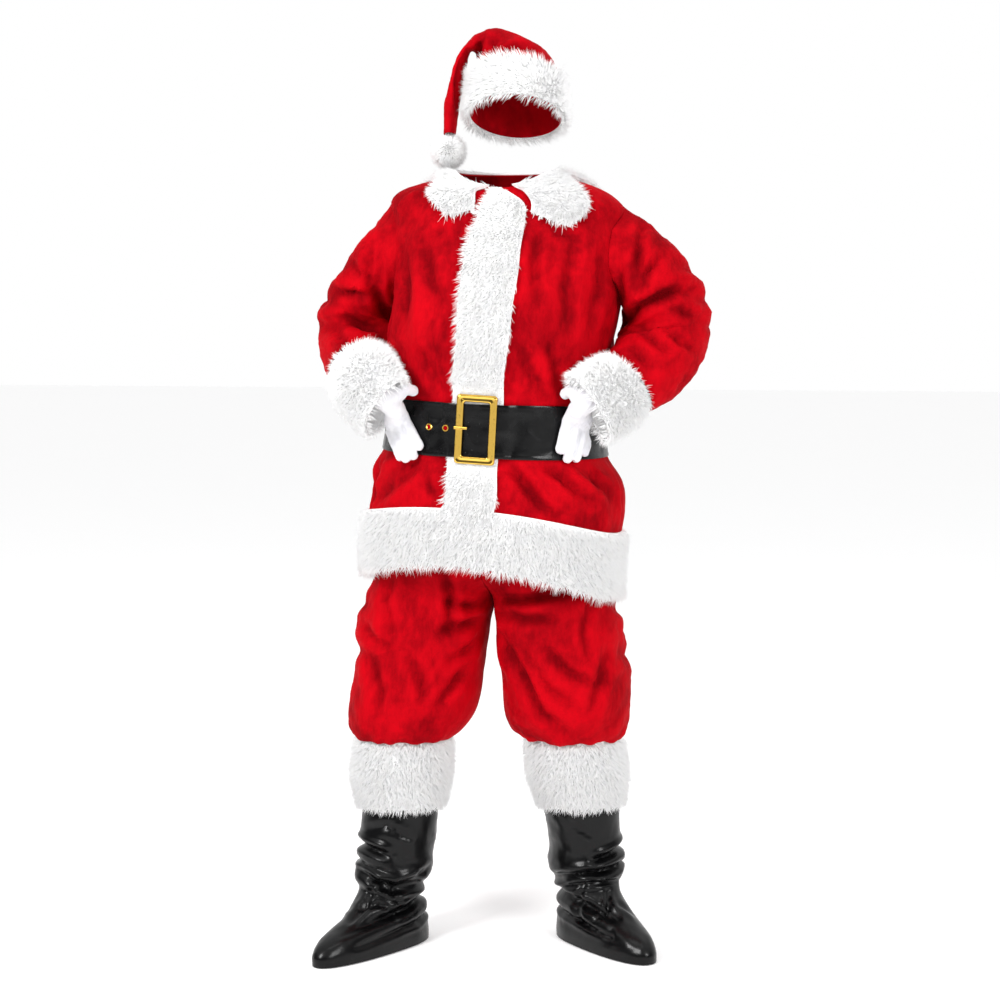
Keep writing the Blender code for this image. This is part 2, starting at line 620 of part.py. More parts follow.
def sleeve_cuff(name, last_rows, sections, side, white):
    step = last_rows[-1] - last_rows[-2]
    step = step.mean(axis=0) / np.linalg.norm(step.mean(axis=0))
    first = last_rows[-1] + step * 2 * SEAM
    rings = section_rings(sections, side, SLEEVE_ROUND, first.mean(axis=0))
    along = rings[-1].mean(axis=0) - rings[-2].mean(axis=0)
    along /= np.linalg.norm(along)
    towards_body = np.sin(np.linspace(0, 2 * math.pi, SLEEVE_ROUND, endpoint=False))
    rings[-1] -= along * (CUFF_BACK + CUFF_SLANT * towards_body)[:, None]
    outer = resample(np.concatenate([first[None], rings]), CUFF_CELLS)
    depth = np.linspace(PILE, CUFF_END_PILE, CUFF_CELLS + 1)[:, None, None]
    wall(name, outer, drawn_in(outer, depth), white, loop=True)


def front_band(white):
    z = coat_heights()[:-1]
    half = angle_of_width(smooth(FRONT_BAND["z"], FRONT_BAND["half_width"], z), z)
    pile = np.interp(z, FRONT_BAND["z"], FRONT_BAND["pile"])
    share = np.linspace(-1, 1, 5)
    angle = np.radians(coat_value("open", z))[:, None] + half[:, None] * share
    height = np.repeat(z[:, None], len(share), axis=1)
    outer = coat_at(angle, height, np.repeat(pile[:, None], len(share), axis=1))
    wall("front_band", outer, coat_at(angle, height, SEAM), white)


def hem_band(white):
    z = np.array(SKIRT_HEIGHTS[:4])
    half = angle_of_width(smooth(FRONT_BAND["z"], FRONT_BAND["half_width"], z) + 2 * SEAM, z)
    opening = np.radians(coat_value("open", z))
    start, stop = opening + half, opening - half + 2 * math.pi
    angle = np.concatenate([start[:, None], panel_angles(z)[:, 1:-1], stop[:, None]], axis=1)
    height = np.repeat(z[:, None], angle.shape[1], axis=1)
    wall("hem_band", coat_at(angle, height, PILE), coat_at(angle, height, 2 * SEAM), white)


def collar(white):
    # A flat collar on the coat's own surface, from the neck edge out to its two points.
    table = columns(COLLAR_COLUMNS, COLLAR_EDGE)
    half = np.array(COLLAR_ANGLES, float)
    ends = [COLLAR_FRONT_LEFT], [360 - COLLAR_FRONT_RIGHT]
    around = np.concatenate([ends[0], half, [180], 360 - half[::-1], ends[1]])
    depth = np.linspace(0, 1, 5)
    angle = np.radians(around) + 0 * depth[:, None]
    edge = smooth(table["angle"], table["edge"], np.mod(around + 180, 360) - 180)
    height = NECK_HEIGHT - 0.001 + (edge - NECK_HEIGHT) * depth[:, None]
    pile = 0.008 + 0.006 * np.sin(math.pi * np.clip(depth + 0.1, 0, 1))[:, None] + 0 * angle
    outer = coat_at(angle, height, pile, folds=False)
    wall("collar", outer, coat_at(angle, height, COLLAR_CLEAR, folds=False), white)


def belt_out(angle, z):
    # How far out the belt's back lies: close to the coat, and over the front band.
    opening = np.radians(coat_value("open", z))
    half = angle_of_width(BAND_ROWS[0][1] + 0 * z, z)
    from_opening = np.abs(np.mod(angle - opening + math.pi, 2 * math.pi) - math.pi)
    over = np.clip((half + BELT_STEP_PAST - from_opening) / BELT_STEP_LENGTH, 0, 1)
    return BELT_CLEAR + (BAND_PRESSED + BELT_STEP_CLEAR) * over * over * (3 - 2 * over)


def belt(black):
    z = np.array(BELT_HEIGHTS)
    angle = panel_angles(z)[:, :-1]
    height = np.repeat(z[:, None], angle.shape[1], axis=1)
    back = belt_out(angle, height)
    wall("belt", coat_at(angle, height, back + BELT_WALL, folds=False),
         coat_at(angle, height, back, folds=False), black, loop=True)


def rounded_outline(width, height, corner, steps=3):
    # Rectangle with quarter-circle corners, anticlockwise.
    points = []
    for quarter in range(4):
        sx = (1, -1, -1, 1)[quarter]
        sy = (1, 1, -1, -1)[quarter]
        for k in range(steps + 1):
            turn = math.pi / 2 * (quarter + k / steps)
            points.append((sx * (width / 2 - corner) + corner * math.cos(turn),
                           sy * (height / 2 - corner) + corner * math.sin(turn), 0.0))
    return points


def buckle_frame(brass):
    # Flat outline with a window, rounded along its edges, on the belt at the front.
    curve = bpy.data.curves.new("buckle_frame", "CURVE")
    curve.dimensions = "2D"
    curve.fill_mode = "BOTH"
    curve.extrude = BUCKLE_THICK / 2 - BUCKLE_ROUNDING
    curve.bevel_depth = BUCKLE_ROUNDING
    curve.bevel_resolution = 0
    grown = 2 * BUCKLE_ROUNDING
    window = 2 * BUCKLE_BAR
    outlines = (
        (BUCKLE_WIDTH - grown, BUCKLE_HEIGHT - grown, BUCKLE_CORNER),
        (BUCKLE_WIDTH - window + grown, BUCKLE_HEIGHT - window + grown, BUCKLE_WINDOW_CORNER),
    )
    for width, height, corner in outlines:
        points = rounded_outline(width, height, corner)
        spline = curve.splines.new("POLY")
        spline.points.add(len(points) - 1)
        for k, point in enumerate(points):
            spline.points[k].co = (*point, 1.0)
        spline.use_cyclic_u = True
    piece = place(bpy.data.objects.new("buckle_frame", curve), brass)
    piece.matrix_local = belt_frame(0.0, BUCKLE_AT, BUCKLE_THICK / 2 + BUCKLE_LIFT)
    return piece


def belt_frame(angle, z, out):
    # Place on the belt's face: X across, Y up the belt, Z out of it.
    back = float(belt_out(np.array(angle), np.array(z)))
    at = coat_at(angle, z, back + BELT_WALL + out, folds=False)
    above = coat_at(angle, z + 0.02, back + BELT_WALL + out, folds=False)
    beside = coat_at(angle + 0.05, z, back + BELT_WALL + out, folds=False)
    up = Vector(above - at).normalized()
    outward = Vector(beside - at).cross(up).normalized()
    across = up.cross(outward)
    frame = Matrix((across, up, outward)).transposed().to_4x4()
    frame.translation = Vector(at)
    return frame


def buckle_prong(brass):
    # Short tapered pin across the frame's side bar.
    mesh = bpy.data.meshes.new("buckle_prong")
    bm = bmesh.new()
    bmesh.ops.create_cone(bm, cap_ends=True, segments=10, radius1=PRONG_RADII[0],
                          radius2=PRONG_RADII[1], depth=PRONG_LENGTH)
    bm.to_mesh(mesh)
    bm.free()
    shade(mesh)
    piece = place(bpy.data.objects.new("buckle_prong", mesh), brass)
    turn = Matrix.Rotation(math.pi / 2, 4, "Y")
    lift = Matrix.Translation((-BUCKLE_WIDTH / 2 + 0.011, 0.002, BUCKLE_THICK / 2 + 0.0036))
    piece.matrix_local = belt_frame(0.0, BUCKLE_AT, BUCKLE_THICK / 2 + BUCKLE_LIFT) @ lift @ turn
    return piece


def eyelet(name, angle, brass):
    # Turned ring with a round rim, lying on the belt.
    mesh = bpy.data.meshes.new(name)
    bm = bmesh.new()
    ring = []
    for k in range(6):
        turn = 2 * math.pi * k / 6
        across = EYELET_RADIUS + EYELET_RIM * math.cos(turn)
        ring.append(bm.verts.new((across, 0, EYELET_LIFT * math.sin(turn))))
    edges = [bm.edges.new((ring[k], ring[(k + 1) % 6])) for k in range(6)]
    bmesh.ops.spin(bm, geom=ring + edges, cent=(0, 0, 0), axis=(0, 0, 1), dvec=(0, 0, 0),
                   angle=2 * math.pi, steps=12, use_merge=True, use_normal_flip=False)
    bmesh.ops.remove_doubles(bm, verts=bm.verts, dist=0.00001)
    bmesh.ops.recalc_face_normals(bm, faces=bm.faces)
    bm.to_mesh(mesh)
    bm.free()
    shade(mesh, 60)
    piece = place(bpy.data.objects.new(name, mesh), brass)
    piece.matrix_local = belt_frame(angle, BUCKLE_AT, EYELET_LIFT + 2 * SEAM)
    return piece


HIP = columns(HIP_COLUMNS, HIP_ROWS)


def leg_grid(sections, side, cells):
    # One leg as a sheet from the inseam round the outer side: an oval below the crotch that
    # opens above it into half of the hip ring, from the centre front to the centre back.
    table = columns(LEG_COLUMNS, sections)
    station = np.arange(len(sections), dtype=float)
    at = np.linspace(0, station[-1], cells + 1)
    value = {name: smooth(station, table[name], at)[:, None] for name in LEG_COLUMNS}
    share = np.linspace(0, 1, LEG_AROUND + 1)[None]
    gap = SEAM * 0.6 / LEG_TYPICAL_RADIUS
    turn = -math.pi + gap + (2 * math.pi - 2 * gap) * share
    x = value["x"] + side * value["half"] * signed_power(np.cos(turn), 0.92)
    sway = signed_power(np.sin(turn), 0.92)
    y = value["y"] + np.where(sway < 0, value["front"], value["back"]) * sway
    z = value["z"] + 0 * share
    half_gap = SEAM * 0.6 / HIP_TYPICAL_RADIUS
    hip_turn = side * (half_gap + (math.pi - 2 * half_gap) * share)
    hip = {name: smooth(HIP["z"], HIP[name], np.clip(z, 0.64, 1.06)) for name in HIP_COLUMNS}
    hip_x, hip_y = oval(hip_turn, hip["half"], hip["front"], hip["back"])
    blend = np.clip(value["hip"], 0, 1)
    x = (1 - blend) * x + blend * (hip["x"] + hip_x)
    y = (1 - blend) * y + blend * hip_y
    limit = hip["x"] + side * SEAM * 0.6
    x = np.maximum(x, limit) if side > 0 else np.minimum(x, limit)
    return np.stack([x, y, z], -1), np.stack([value["x"], value["y"], value["z"]], -1), limit


def trouser_leg(name, sections, side, red):
    outer, middle, limit = leg_grid(sections, side, LEG_CELLS)
    inner = outer - sheet_normals(outer, middle) * PLUSH_WALL
    inner[..., 0] = np.maximum(inner[..., 0], limit) if side > 0 else np.minimum(inner[..., 0], limit)
    # The two edges that meet at the inseam stay on their own sides of it.
    seam_y = (outer[:, 0, 1] + outer[:, -1, 1]) / 2
    inner[:, 0, 1] = np.minimum(inner[:, 0, 1], seam_y - SEAM / 2)
    inner[:, -1, 1] = np.maximum(inner[:, -1, 1], seam_y + SEAM / 2)
    wall(name, outer, inner, red)


def waistband(red):
    # Plain band above the legs, inside the coat and under the belt.
    z = np.array([LEG_SECTIONS["right"][0][0] + SEAM, WAISTBAND_TOP])
    turn = np.linspace(0, 2 * math.pi, 2 * LEG_AROUND + 1)[:-1][None]
    hip = {name: smooth(HIP["z"], HIP[name], z)[:, None] for name in HIP_COLUMNS}
    grids = []
    for inset in (0.0, WAISTBAND_WALL):
        x, y = oval(turn, hip["half"] - inset, hip["front"] - inset, hip["back"] - inset)
        grids.append(np.stack([hip["x"] + x, y, z[:, None] + 0 * turn], -1))
    wall("waistband", grids[0], grids[1], red, loop=True)


def leg_cuff(name, sections, white):
    table = columns(LEG_CUFF_COLUMNS, sections)
    at = np.linspace(table["z"][-1], table["z"][0], 4)
    value = {key: smooth(table["z"][::-1], table[key][::-1], at)[:, None] for key in LEG_CUFF_COLUMNS}
    turn = np.linspace(0, 2 * math.pi, 17)[:-1][None]
    grids = []
    for inset in (0.0, value["pile"]):
        x, y = oval(turn, value["half"] - inset, value["deep"] - inset, value["deep"] - inset, 2.0)
        grids.append(np.stack([value["x"] + x, value["y"] + y, value["z"] + 0 * turn], -1))
    wall(name, grids[0], grids[1], white, loop=True)


def boot_cover(name, sections, turn_out, black):
    # Flat rings from the footprint up to the shaft: long ovals turned with the foot.
    table = columns(BOOT_COLUMNS, sections)
    value = {key: table[key][:, None] for key in BOOT_COLUMNS}
    turn = np.linspace(0, 2 * math.pi, BOOT_AROUND + 1)[:-1][None]
    across, forward = oval(turn, value["half"], value["toe"], value["heel"], 2.2)
    x = value["x"] + across * math.cos(turn_out) - forward * math.sin(turn_out)
    y = value["y"] + across * math.sin(turn_out) + forward * math.cos(turn_out)
    outer = np.stack([x, y, value["z"] + 0 * turn], -1)
    inner = outer - tube_normals(outer) * VINYL_WALL
    inner[0, :, 2] = outer[0, :, 2]
    wall(name, outer, inner, black, loop=True)


def hat(red, white):
    # The cone, its fold and its tail in one tube, and the band on the tube's lower rows.
    outer = resample(section_rings(HAT_SECTIONS, 1, HAT_AROUND), HAT_CELLS)
    normals = tube_normals(outer)
    wall("hat", outer, outer - normals * PLUSH_WALL, red, loop=True)
    height = np.linalg.norm(outer[:, 0] - outer[0, 0], axis=-1)
    rows = np.searchsorted(height, HAT_BAND_WIDTH)
    share = (HAT_BAND_WIDTH - height[rows - 1]) / (height[rows] - height[rows - 1])
    band, out = outer[:rows + 1].copy(), normals[:rows + 1]
    band[-1] = band[-2] + (band[-1] - band[-2]) * share
    wall("hat_band", band + out * (PILE + SEAM), band + out * 2 * SEAM, white, loop=True)


def pompom(white):
    # Ball whose faces are drawn out into three-sided locks; the ball is their backing.
    mesh = bpy.data.meshes.new("pompom")
    bm = bmesh.new()
    bmesh.ops.create_icosphere(bm, subdivisions=2, radius=POMPOM_RADIUS)
    tips = bmesh.ops.extrude_discrete_faces(bm, faces=list(bm.faces))["faces"]
    for k, face in enumerate(tips):
        middle = face.calc_center_median()
        reach = (POMPOM_REACH - POMPOM_RADIUS) * (0.85 + 0.15 * math.sin(2.4 * k))
        for vert in face.verts:
            vert.co = middle + (vert.co - middle) * 0.5 + middle.normalized() * reach
    bm.to_mesh(mesh)
    bm.free()
    piece = place(bpy.data.objects.new("pompom", mesh), white)
    piece.location = POMPOM_AT
    return piece


def capsule(bm, start, start_radius, stop, stop_radius):
    # The hull of two balls.
    for centre, radius in ((start, start_radius), (stop, stop_radius)):
        spot = Matrix.Translation(centre)
        bmesh.ops.create_icosphere(bm, subdivisions=2, radius=radius, matrix=spot)
    bmesh.ops.delete(bm, geom=list(bm.edges), context="EDGES_FACES")
    hull = bmesh.ops.convex_hull(bm, input=list(bm.verts), use_existing_faces=False)
    left_over = [item for item in hull["geom_interior"] if isinstance(item, bmesh.types.BMVert)]
    bmesh.ops.delete(bm, geom=left_over, context="VERTS")


def glove(name, side, white):
    # Fingers, palm, thumb and wrist joined into one skin, thinned out and opened at the wrist.
    chains = [(row[:4], row[4:]) for row in FINGERS[side]]
    knuckles = [row[:4] for row in FINGERS[side]]
    wrist, thumb = WRISTS[side], THUMBS[side]
    chains += list(zip(wrist[:-1], wrist[1:])) + list(zip(thumb[:-1], thumb[1:]))
    chains += [(wrist[-1], knuckle) for knuckle in knuckles] + list(zip(knuckles[:-1], knuckles[1:]))
    shells = bpy.data.meshes.new("shells")
    whole = bmesh.new()
    for start, stop in chains:
        bm = bmesh.new()
        capsule(bm, start[:3], start[3], stop[:3], stop[3])
        part_mesh = bpy.data.meshes.new("part")
        bm.to_mesh(part_mesh)
        bm.free()
        whole.from_mesh(part_mesh)
        bpy.data.meshes.remove(part_mesh)
    bmesh.ops.recalc_face_normals(whole, faces=whole.faces)
    whole.to_mesh(shells)
    whole.free()
    form = bpy.data.objects.new("form", shells)
    suit.objects.link(form)
    joined = form.modifiers.new("joined", "REMESH")
    joined.mode = "VOXEL"
    joined.voxel_size = GLOVE_GRAIN
    eased = form.modifiers.new("eased", "SMOOTH")
    eased.iterations = 3
    depsgraph = bpy.context.evaluated_depsgraph_get()
    skin = bpy.data.meshes.new_from_object(form.evaluated_get(depsgraph))
    thinned = form.modifiers.new("thinned", "DECIMATE")
    thinned.ratio = GLOVE_FACES / (2 * len(skin.polygons))
    depsgraph = bpy.context.evaluated_depsgraph_get()
    skin = bpy.data.meshes.new_from_object(form.evaluated_get(depsgraph))
    bpy.data.objects.remove(form, do_unlink=True)
    bm = bmesh.new()
    bm.from_mesh(skin)
    start, beyond = Vector(wrist[0][:3]), Vector(wrist[1][:3])
    bmesh.ops.bisect_plane(bm, geom=bm.verts[:] + bm.edges[:] + bm.faces[:], plane_co=start,
                           plane_no=(start - beyond).normalized(), clear_outer=True)
    bmesh.ops.triangulate(bm, faces=bm.faces)
    bm.to_mesh(skin)
    bm.free()
    skin.name = name
    shade(skin, 60)
    piece = place(bpy.data.objects.new(name, skin), white)
    thick = piece.modifiers.new("wall", "SOLIDIFY")
    thick.thickness = KNIT_WALL
    thick.offset = -1
    return piece


def clear_scene():
    for old in list(bpy.data.objects):
        bpy.data.objects.remove(old, do_unlink=True)


clear_scene()
suit = bpy.data.collections.new("santa_suit")
bpy.context.scene.collection.children.link(suit)
shoulders = bpy.data.objects.new("shoulders", None)
shoulders.location = (-HELD_X, 0.0, -HELD_HEIGHT)
suit.objects.link(shoulders)

plush = make_material("plush_red", PLUSH_RED, 0.85)
pile = make_material("pile_white", PILE_WHITE, 0.9)
vinyl = make_material("vinyl_black", VINYL_BLACK, 0.3)
brass = make_material("brass", BRASS_YELLOW, 0.25, 1.0)
knit = make_material("knit_white", KNIT_WHITE, 0.8)

coat_panels(plush)
for side_name, side_sign in (("right", -1), ("left", 1)):
    sleeve_rows = sleeve("sleeve_" + side_name, SLEEVE_SECTIONS[side_name], side_sign, plush)
    sleeve_cuff("cuff_" + side_name, sleeve_rows, CUFF_SECTIONS[side_name], side_sign, pile)
    trouser_leg("leg_" + side_name, LEG_SECTIONS[side_name], side_sign, plush)
    leg_cuff("leg_cuff_" + side_name, LEG_CUFF_SECTIONS[side_name], pile)
    boot_cover("boot_cover_" + side_name, BOOT_SECTIONS[side_name], FOOT_TURN[side_name], vinyl)
front_band(pile)
hem_band(pile)
collar(pile)
belt(vinyl)
buckle_frame(brass)
buckle_prong(brass)
for eyelet_name, eyelet_angle in EYELET_ANGLES.items():
    eyelet(eyelet_name, math.radians(eyelet_angle), brass)
waistband(plush)
hat(plush, pile)
pompom(pile)
glove("glove_right", "right", knit)
glove("glove_left", "left", knit)
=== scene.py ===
# Santa suit as worn: thin plush shells with creases, combed fur trim, vinyl belt and boots.
# Tables give places above the floor, in metres; heldAt brings them into the part's frame.
# Creases are drawn as paths in the photo's pixels, seen from the camera turned round the suit.
import math

import bmesh
import bpy
import numpy as np
from mathutils import Matrix, Vector


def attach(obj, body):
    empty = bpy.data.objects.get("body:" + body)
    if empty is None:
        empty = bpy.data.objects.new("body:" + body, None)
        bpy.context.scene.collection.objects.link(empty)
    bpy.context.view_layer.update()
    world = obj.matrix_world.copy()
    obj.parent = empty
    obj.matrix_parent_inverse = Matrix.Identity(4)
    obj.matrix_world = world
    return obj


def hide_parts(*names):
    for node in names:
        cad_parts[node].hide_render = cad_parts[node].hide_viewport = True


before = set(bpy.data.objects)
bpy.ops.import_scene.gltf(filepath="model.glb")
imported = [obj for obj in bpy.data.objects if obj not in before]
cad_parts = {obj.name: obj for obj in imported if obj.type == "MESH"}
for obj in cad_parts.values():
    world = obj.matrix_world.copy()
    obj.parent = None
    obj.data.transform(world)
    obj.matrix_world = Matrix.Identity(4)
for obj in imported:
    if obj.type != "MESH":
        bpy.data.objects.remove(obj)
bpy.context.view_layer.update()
print("frame loaded")

heldAt = np.array([0.020, 0.0, 1.450])
seam = 0.0003
plushWall = 0.0025
vinylWall = 0.0020
knitWall = 0.0015
pileDeep = 0.014
backingShare = 0.40  # how much of the pile's depth the backing takes up
bodySquareness = 2.3  # exponent of the coat's and the hips' ovals: 2 is a plain oval

cameraAzimuth = math.radians(11)
cameraTilt = math.radians(4.95)
cameraDistance = 4.2
cameraHeight = 1.233
focalPixels = 2187.0
pictureMiddle = 500  # pixels from the photo's edges to its middle
millimetresPerPixel = 1.92
creaseNarrowing = 0.8
creaseDeepening = 0.0020  # metres for each millimetre in the tables: pressed nap looks deeper than it is
creaseLip = 0.38  # height of the lips beside a valley, as a share of its depth
creaseLipAt = 2.1  # how far out the lips lie, in the valley's half widths


def columns(names, rows):  # the rows of a table as one array for each named column
    return dict(zip(names, np.array(rows, float).T))


def smoothRows(atRows, values, at):
    # Cubic curve through the rows, with slopes from each row's neighbours.
    slopes = np.gradient(values, atRows, axis=0)
    k = np.clip(np.searchsorted(atRows, at, side="right") - 1, 0, len(atRows) - 2)
    span = atRows[k + 1] - atRows[k]
    t = (at - atRows[k]) / span
    if np.ndim(values) > 1:
        extra = (1,) * (np.ndim(values) - 1)
        t = t.reshape(t.shape + extra)
        span = span.reshape(span.shape + extra)
    rise = t * t * (3 - 2 * t)
    curve = (1 - rise) * values[k] + rise * values[k + 1]
    return curve + span * (t * (1 - t) ** 2 * slopes[k] - t * t * (1 - t) * slopes[k + 1])


def unit(vectors):
    return vectors / np.maximum(np.linalg.norm(vectors, axis=-1, keepdims=True), 1e-9)


def fullTurn(count):  # angles all round, without the last one, which meets the first
    return np.linspace(0, 2 * math.pi, count + 1)[:-1]


def closed(grid, loop):  # a looped grid with its first column again at its end
    return np.concatenate([grid, grid[:, :1]], axis=1) if loop else grid


def overGrid(value, grid):  # one number for all, or one for each point, as a grid of single numbers
    spread = np.asarray(value, float)[..., None] if np.ndim(value) else value
    return np.broadcast_to(spread, grid.shape[:2] + (1,))


def signedPower(value, exponent):
    return np.sign(value) * np.abs(value) ** exponent


def oval(angle, half, front, back, squareness=bodySquareness):
    # Squared oval: angle 0 is the front (-Y), a quarter turn is +X.
    forward = signedPower(np.cos(angle), 2 / squareness)
    return half * signedPower(np.sin(angle), 2 / squareness), -np.where(forward > 0, front, back) * forward


def seenAt(points, turn):
    # Pixel of each point in the photo, after the suit is turned by this angle about its middle.
    c, s = math.cos(turn), math.sin(turn)
    x = points[..., 0] * c - points[..., 1] * s
    y = points[..., 0] * s + points[..., 1] * c
    a, t = cameraAzimuth, cameraTilt
    dx, dy = x - cameraDistance * math.sin(a), y + cameraDistance * math.cos(a)
    dz = points[..., 2] - cameraHeight
    right = dx * math.cos(a) + dy * math.sin(a)
    level = -dx * math.sin(a) + dy * math.cos(a)
    forward = level * math.cos(t) - dz * math.sin(t)
    up = level * math.sin(t) + dz * math.cos(t)
    return pictureMiddle + focalPixels * right / forward, pictureMiddle - focalPixels * up / forward


def creases(points, normals, turn, lines):
    # Depth of the valleys along each path of pixels: a bell across it, less one further out for the
    # raised lip at each side, fading to the path's ends and on cloth that turns from the camera.
    px, py = seenAt(points, turn)
    seen = np.stack([px, py], -1)
    away = cameraAzimuth - turn
    facing = normals[..., 0] * math.sin(away) - normals[..., 1] * math.cos(away)
    share = np.clip(facing * 2.2 + 0.1, 0, 1)
    total = np.zeros(px.shape)
    for width, depth, path in lines:
        path = np.array(path, float)
        reach = creaseNarrowing * width / millimetresPerPixel
        lengths = np.concatenate([[0], np.cumsum(np.linalg.norm(np.diff(path, axis=0), axis=1))])
        nearest = np.full(px.shape, 1e9)
        along = np.zeros(px.shape)
        for k in range(len(path) - 1):
            step = path[k + 1] - path[k]
            t = np.clip(((seen - path[k]) @ step) / (step @ step), 0, 1)
            gap = np.linalg.norm(seen - path[k] - t[..., None] * step, axis=-1)
            closer = gap < nearest
            nearest = np.where(closer, gap, nearest)
            along = np.where(closer, (lengths[k] + t * (lengths[k + 1] - lengths[k])) / lengths[-1], along)
        fade = np.sin(math.pi * (0.1 + 0.8 * along)) ** 0.8
        lip = creaseLip * np.exp(-(((nearest - creaseLipAt * reach) / reach) ** 2))
        total += creaseDeepening * depth * fade * (np.exp(-((nearest / reach) ** 2)) - lip)
    return total * share


def unevenness(points, wave, seed, terms=9):
    # Sum of sine waves in random directions, each bent by the one before: soft waves about this long.
    draw = np.random.default_rng(seed)
    total = np.zeros(points.shape[:-1])
    bend = np.zeros(points.shape[:-1])
    for k in range(terms):
        direction = draw.normal(size=3)
        direction *= 2 * math.pi / (np.linalg.norm(direction) * wave * draw.uniform(0.7, 1.5))
        bend = np.sin(points @ direction + draw.uniform(0, 6.28) + 1.2 * bend)
        total += bend
    return total / math.sqrt(terms)


def tubeNormals(points):
    # Directions out of a looped grid, from its neighbours along and around.
    around = np.roll(points, -1, axis=1) - np.roll(points, 1, axis=1)
    normal = unit(np.cross(around, np.gradient(points, axis=0)))
    outward = ((points - points.mean(axis=1, keepdims=True)) * normal).sum()
    return normal if outward > 0 else -normal


def sheetNormals(points, middle):
    # Directions out of an open grid, away from the middle point of each row.
    normal = unit(np.cross(np.gradient(points, axis=1), np.gradient(points, axis=0)))
    return normal if ((points - middle) * normal).sum() > 0 else -normal


def drawnIn(rings, depth):  # each ring's points moved towards the ring's own middle
    return rings + unit(rings.mean(axis=1, keepdims=True) - rings) * depth


def quads(index):  # four-cornered faces between the rows and columns of a grid of point numbers
    return np.stack([index[:-1, :-1], index[:-1, 1:], index[1:, 1:], index[1:, :-1]], -1).reshape(-1, 4)


def facedOut(points, faces):  # the same faces, turned round if they close in a negative volume
    a, b, c, d = (points[faces[:, k]] for k in range(4))
    volume = (a * (np.cross(b, c) + np.cross(c, d))).sum()
    return faces if volume > 0 else faces[:, ::-1]


def cellAreas(points, loop):  # half the cross product of each cell's diagonals
    ends = closed(points, loop)
    return np.linalg.norm(np.cross(ends[1:, 1:] - ends[:-1, :-1], ends[1:, :-1] - ends[:-1, 1:]), axis=-1) / 2


def linked(name, data):  # a new object in the scene
    made = bpy.data.objects.new(name, data)
    bpy.context.scene.collection.objects.link(made)
    return made


def newMesh(name, points, faces, material, tone=None, fold=None):
    mesh = bpy.data.meshes.new(name)
    sides = faces.shape[1]
    mesh.vertices.add(len(points))
    mesh.vertices.foreach_set("co", (points - heldAt).astype(np.float32).ravel())
    mesh.loops.add(faces.size)
    mesh.loops.foreach_set("vertex_index", faces.astype(np.int32).ravel())
    mesh.polygons.add(len(faces))
    mesh.polygons.foreach_set("loop_start", np.arange(0, faces.size, sides, dtype=np.int32))
    mesh.update(calc_edges=True)
    mesh.validate()
    mesh.shade_smooth()
    for key, values in (("tone", tone), ("fold", fold)):
        if values is not None:
            mesh.attributes.new(key, "FLOAT", "POINT").data.foreach_set("value", values.astype(np.float32))
    mesh.materials.append(material)
    return linked(name, mesh)


def meshFrom(name, bm, material):  # a smooth piece from a bmesh, which is freed
    mesh = bpy.data.meshes.new(name)
    bm.to_mesh(mesh)
    bm.free()
    mesh.shade_smooth()
    mesh.materials.append(material)
    return linked(name, mesh)


def declare(piece, nodes):  # every piece rides on the one body and stands for its nodes
    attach(piece, "root")
    if nodes:
        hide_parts(*nodes)
    return piece


def shell(name, outer, inner, loop, material, node, depth=None):
    # Closed wall between two grids; its faces are turned outwards by the sign of its volume.
    # The depth of the creases in millimetres is kept for the cloth's painted shade in the creases and painted
    # light on their lips.
    rows, cols = outer.shape[:2]
    far = rows * cols
    index = closed(np.arange(far).reshape(rows, cols), loop)
    front = quads(index)
    parts = [front, front[:, ::-1] + far]
    edges = [(index[0], True), (index[-1], False)]
    if not loop:
        edges += [(index[:, 0], False), (index[:, -1], True)]
    for edge, turned in edges:
        rim = np.stack([edge[:-1], edge[1:], edge[1:] + far, edge[:-1] + far], -1)
        parts.append(rim[:, ::-1] if turned else rim)
    faces = np.concatenate(parts)
    points = np.concatenate([outer.reshape(-1, 3), inner.reshape(-1, 3)])
    fold = None
    if depth is not None:
        fold = np.tile(1000 * np.broadcast_to(depth, outer.shape[:2] + (1,)).ravel(), 2)
    piece = newMesh(name, points, facedOut(points, faces), material, fold=fold)
    piece.data.set_sharp_from_angle(angle=math.radians(50))
    return declare(piece, [node])


def clothSheet(outer, loop, withPieces=()):
    # The flat cut: the longest row by the longest column, with the grid's own area.
    width = np.linalg.norm(np.diff(closed(outer, loop), axis=1), axis=-1).sum(axis=1).max()
    length = np.linalg.norm(np.diff(outer, axis=0), axis=-1).sum(axis=0).max()
    area = float(min(cellAreas(outer, loop).sum(), width * length))


# Lengths in metres; a spread is the share by which single locks differ.
pile = {
    "thickness": 0.0010, "thinnest": 0.7, "thicknessSpread": 0.6,
    "shortest": 0.72, "lengthSpread": 0.5, "rootDepth": 0.0012,
    "clumps": (0.030, 0.45), "tufts": (0.012, 0.35),  # wave and strength of what turns locks together
    "swing": 0.8, "swingSpread": 0.20, "leanSpread": 0.25,
    # Each lock's own tone and its spread, then the painted shade at its roots as a share of that tone.
    "shade": 0.82, "shadeSpread": 0.16, "shadeWaves": 0.10, "rootShade": 0.35,
    "lumps": (0.030, 0.12),  # wave and height of the backing's lumps
    "rimRows": 4, "rimSpan": (0.15, 0.85), "rimReach": 1.15,  # extra rows of locks over an edge
}


